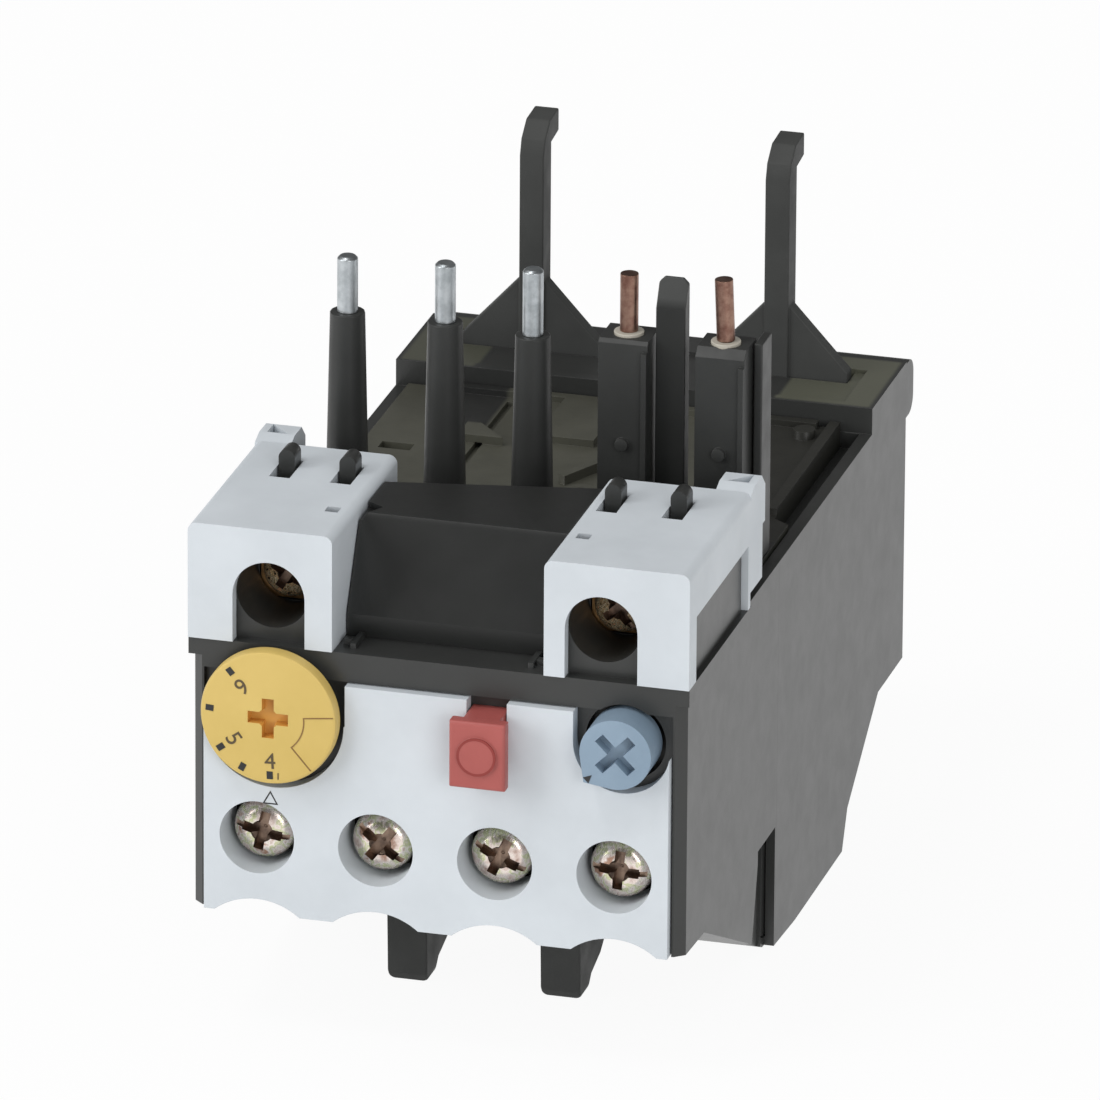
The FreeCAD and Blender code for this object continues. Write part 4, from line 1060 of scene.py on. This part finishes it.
@dataclass
class StopButton:
    """Red button with a ring on its head whose darker red is painted shade of an engraving."""

    ring_r: float = 1.78
    ring_w: float = 0.22
    rise: float = 0.02
    foot: float = 0.1

    def build(self) -> None:
        """Round the button's edges and draw its ring."""
        Moulding("stop_button", Finish.RED, "red_plastic", 0.12, "stop").build()
        inner = self.ring_r - self.ring_w
        profile = [(inner, self.foot), (inner, -self.rise), (self.ring_r, -self.rise),
                   (self.ring_r, self.foot), (inner, self.foot)]
        # The ring's darker red is painted shade of the engraving.
        ring = SHOP.dress(turned(profile, front("stop_button"), "stop_ring", 48), Finish.RING_PAINTED_SHADE)
        SHOP.book(ring, "stop")


@dataclass
class ResetKnob:
    """Pale blue knob with an X recess and an arrow on its pointer."""

    tip: float = 2.45
    arrow: Sequence[tuple[float, float]] = ((-0.45, 0.05), (0.05, -0.45), (0.35, 0.35))
    rise: float = 0.03
    thick: float = 0.05

    def build(self) -> None:
        """Round the knob and mark its pointer."""
        Moulding("reset_knob", Finish.BLUE, "blue_plastic", 0.14, "knob").build()
        joints = {joint["name"]: joint for joint in frame["record"]["behaviour"]["joints"]}
        axis = Vector(joints["reset_turn"]["pos_m"]) / MM
        x, y, z = axis.x - self.tip, front("reset_knob").y - self.rise, axis.z - self.tip
        bm = bmesh.new()
        corners = [bm.verts.new(mm(x + right, y, z + up)) for right, up in self.arrow]
        bmesh.ops.contextual_create(bm, geom=corners)
        thicken(bm, self.thick)
        piece = SHOP.dress(finish_mesh(bm, "knob_arrow"), Finish.PRINT)
        SHOP.book(piece, "knob")


@dataclass
class CoilSpring:
    """Round-wire compression spring in place of a plain tube."""

    node: str
    coils: float
    wire: float = 0.36
    wire_facets: int = 10
    coil_facets: int = 24

    def build(self) -> None:
        """Spin a small circle along a helix."""
        low, high = node_box(self.node)
        radius = (high.x - low.x) / 2 - self.wire / 2
        length = high.y - low.y - self.wire
        steps = int(self.coils * self.coil_facets)
        bm = bmesh.new()
        start = Matrix.Translation((radius * MM, 0, 0)) @ Matrix.Rotation(math.pi / 2, 4, "X")
        circle = bmesh.ops.create_circle(bm, segments=self.wire_facets, radius=self.wire / 2 * MM,
                                         matrix=start)
        bmesh.ops.spin(bm, geom=circle["verts"] + list(bm.edges), cent=(0, 0, 0), axis=(0, 0, 1),
                       dvec=(0, 0, length * MM / steps), angle=math.tau * self.coils, steps=steps,
                       use_merge=False, use_duplicate=False)
        bmesh.ops.holes_fill(bm, edges=[e for e in bm.edges if e.is_boundary], sides=0)
        bmesh.ops.recalc_face_normals(bm, faces=bm.faces)
        centre = front(self.node) + BACKWARDS * self.wire / 2
        bmesh.ops.transform(bm, matrix=laid_back(centre), verts=bm.verts)
        piece = SHOP.dress(finish_mesh(bm, self.node + "_piece", 60), Finish.SPRING)
        SHOP.book(piece, "body", [self.node])


@dataclass
class PlateMark:
    """Outlined setting triangle printed on the cover plate."""

    x: float = -15.1
    z: float = 23.2
    half: float = 0.62
    line: float = 0.12
    rise: float = 0.02

    def build(self) -> None:
        """Draw the triangle as a thin line."""
        foot, tip = self.z - self.half * 0.85, self.z + self.half * 0.95
        points = [(self.x - self.half, foot), (self.x + self.half, foot), (self.x, tip)]
        y = front("front_cover_plate").y
        mark = SHOP.dress(outline_strip(points, self.line, y, self.rise, True, "plate_mark"), Finish.PRINT)
        SHOP.book(mark, "body")


@dataclass(frozen=True)
class Lamp:
    """Square area lamp: place and side in metres, power in watts."""

    name: str
    place: Point
    size: float
    power: float

    def build(self, target: Vector) -> None:
        """Hang the lamp.

        Args:
            target: Point that it faces.
        """
        light = bpy.data.lights.new(self.name, "AREA")
        light.size = self.size
        light.energy = self.power
        lamp = new_object(self.name, light)
        lamp.location = self.place
        lamp.rotation_euler = (target - Vector(self.place)).to_track_quat("-Z", "Y").to_euler()


@dataclass
class Studio:
    """Floor, lamps, backdrop colour and camera, in metres."""

    lamps: Sequence[Lamp] = (
        Lamp("key_left", (-1.25, -0.95, 0.62), 0.9, 11),
        Lamp("fill_right", (0.95, -1.3, 0.45), 0.7, 7),
        Lamp("top", (-0.40, -0.55, 1.38), 0.35, 5.0),
    )
    target: Point = (0, 0, 0.03)
    camera_place: Point = (0.37526, -1.32467, 0.57648)
    camera_right: Point = (0.9634, 0.2680, 0.0060)
    camera_up: Point = (-0.1033, 0.3505, 0.9309)
    lens: float = 553.4
    sensor: float = 36.0
    far: float = 20.0
    sky_light: float = 0.57
    sky_gloss: float = 0.14
    floor_size: float = 3.0
    floor_white: float = 0.94
    floor_gloss: float = 0.9

    def floor(self) -> None:
        """Pale floor that shows white to the camera and keeps a soft shadow."""
        bm = bmesh.new()
        bmesh.ops.create_grid(bm, x_segments=1, y_segments=1, size=self.floor_size)
        plane = finish_mesh(bm, "floor")
        material, nodes, shader = new_material("floor_white")
        shader.inputs["Roughness"].default_value = 0.9
        shader.inputs["Specular IOR Level"].default_value = 0.1
        place = nodes.add("ShaderNodeTexCoord").outputs["Object"]
        colour = nodes.mix(nodes.noise(place, 60.0), (0.86, 0.86, 0.86), (0.84, 0.84, 0.84))
        nodes.link(colour, shader.inputs["Base Color"])
        glow = nodes.add("ShaderNodeEmission")
        rays = nodes.add("ShaderNodeLightPath").outputs
        both = nodes.add("ShaderNodeMixShader")
        seen = nodes.math("MULTIPLY", rays["Is Camera Ray"], self.floor_white)
        bright = nodes.math("MULTIPLY", rays["Is Glossy Ray"], self.floor_gloss)
        nodes.link(nodes.math("ADD", seen, bright), both.inputs[0])
        nodes.link(shader.outputs[0], both.inputs[1])
        nodes.link(glow.outputs[0], both.inputs[2])
        nodes.link(both.outputs[0], material.node_tree.nodes["Material Output"].inputs["Surface"])
        plane.data.materials.append(material)

    def world(self) -> None:
        """Even pale surroundings, white where the camera or a reflection sees them."""
        world = bpy.data.worlds.new("surroundings")
        world.use_nodes = True
        bpy.context.scene.world = world
        nodes = NodeTree(world.node_tree)
        ground = world.node_tree.nodes["Background"]
        ground.inputs["Color"].default_value = (1, 1, 1, 1)
        rays = nodes.add("ShaderNodeLightPath").outputs
        spread = nodes.math("MULTIPLY", rays["Is Diffuse Ray"], self.sky_light)
        diffuse = nodes.math("ADD", spread, rays["Is Camera Ray"])
        glossy = nodes.math("MULTIPLY", rays["Is Glossy Ray"], self.sky_gloss)
        nodes.link(nodes.math("ADD", diffuse, glossy), ground.inputs["Strength"])

    def camera(self) -> None:
        """Long lens at the product's viewing angle."""
        shift = Vector((0, CAD_MIDDLE_SHIFT, CAD_EDGE_HEIGHT))
        right = Vector(self.camera_right).normalized()
        up = Vector(self.camera_up)
        up = (up - right * up.dot(right)).normalized()
        matrix = Matrix((right, up, right.cross(up))).transposed().to_4x4()
        matrix.translation = Vector(self.camera_place) + shift
        data = bpy.data.cameras.new("camera")
        data.lens = self.lens
        data.sensor_width = self.sensor
        data.clip_end = self.far
        camera = new_object("camera", data)
        camera.matrix_world = matrix
        bpy.context.scene.camera = camera

    def build(self) -> None:
        """Set the whole studio."""
        self.floor()
        self.world()
        for lamp in self.lamps:
            lamp.build(Vector(self.target))
        self.camera()


def dress_carried_nodes() -> None:
    """Give every node that is still shown its own finish."""
    poles = (1, 2, 3)
    plan = {
        Finish.TRIM: ["dial_cam", "reset_plunger"],
        Finish.STEEL: ["main_terminal_cages", "trip_lever_pivot", "rocker_pivot"],
        Finish.STRIP: ["wire_terminal", "aux_terminal_left", "aux_terminal_right", "contact_rocker",
                       "break_contact", "make_contact"]
                      + [f"{kind}_{i}" for kind in ("pin_strap", "load_terminal") for i in poles],
        Finish.IVORY: ["trip_slide", "differential_slide", "trip_lever"],
        Finish.BIMETAL: [f"bimetal_strip_{i}" for i in poles],
        Finish.HEATER: [f"heater_winding_{i}" for i in poles],
    }
    for finish, names in plan.items():
        for name in names:
            SHOP.dress(frame["nodes"][name], finish)
            LOG.info("%s kept with finish %s", name, finish.name)


def mouldings() -> list[Moulding]:
    """All nodes that are shown with rounded edges."""
    items = [
        Moulding("front_housing", Finish.SHELL, "black_shell", 0.16, crease=20),
        Moulding("rear_housing", Finish.SHELL, "black_shell", 0.3),
        Moulding("top_deck", Finish.DECK, "olive_deck", 0.12),
        Moulding("front_cover_plate", Finish.LIGHT, "light_plastic", 0.14),
        Moulding("terminal_cap_left", Finish.LIGHT, "light_plastic", 0.16),
        Moulding("terminal_cap_right", Finish.LIGHT, "light_plastic", 0.16),
        Moulding("side_fin", Finish.TRIM, "black_trim", 0.15),
        Moulding("locating_tab", Finish.TAB, "black_trim", 0.12, crease=12),
    ]
    for name in ("mounting_hook_left", "mounting_hook_right", "base_foot_left", "base_foot_right"):
        items.append(Moulding(name, Finish.HOOK, "black_trim", 0.22))
    for i in (1, 2, 3):
        items.append(Moulding(f"pin_sleeve_{i}", Finish.TRIM, "black_trim", 0.12))
        items.append(Moulding(f"contact_pin_{i}", Finish.PIN, "zinc_pin", 0.06))
    for i in (1, 2):
        items.append(Moulding(f"wire_holder_{i}", Finish.TRIM, "black_trim", 0.15))
        items.append(Moulding(f"wire_collar_{i}", Finish.COLLAR, "white_collar", 0.1))
        items.append(Moulding(f"copper_wire_{i}", Finish.COPPER, "copper_wire", 0.06))
    return items


def main() -> None:
    """Build every piece, then the studio."""
    logging.basicConfig(level=logging.INFO, format="%(name)s: %(message)s")
    for item in mouldings():
        item.build()
    CrossScrews("main_terminal_screws", 2.85, 7.8, (12, 38, 25, 5)).build()
    # The aux screws carry painted glints in their film colour.
    CrossScrews("aux_terminal_screws", 2.5, 6.0, (30, 55), Finish.CHROMATE_PAINTED_GLINTS).build()
    RatingDial().build()
    StopButton().build()
    ResetKnob().build()
    CoilSpring("stop_button_spring", 5.5).build()
    CoilSpring("reset_spring", 7.5).build()
    PlateMark().build()
    dress_carried_nodes()
    Studio().build()
    bpy.context.scene.view_settings.view_transform = "Standard"


if __name__ == "__main__":
    main()
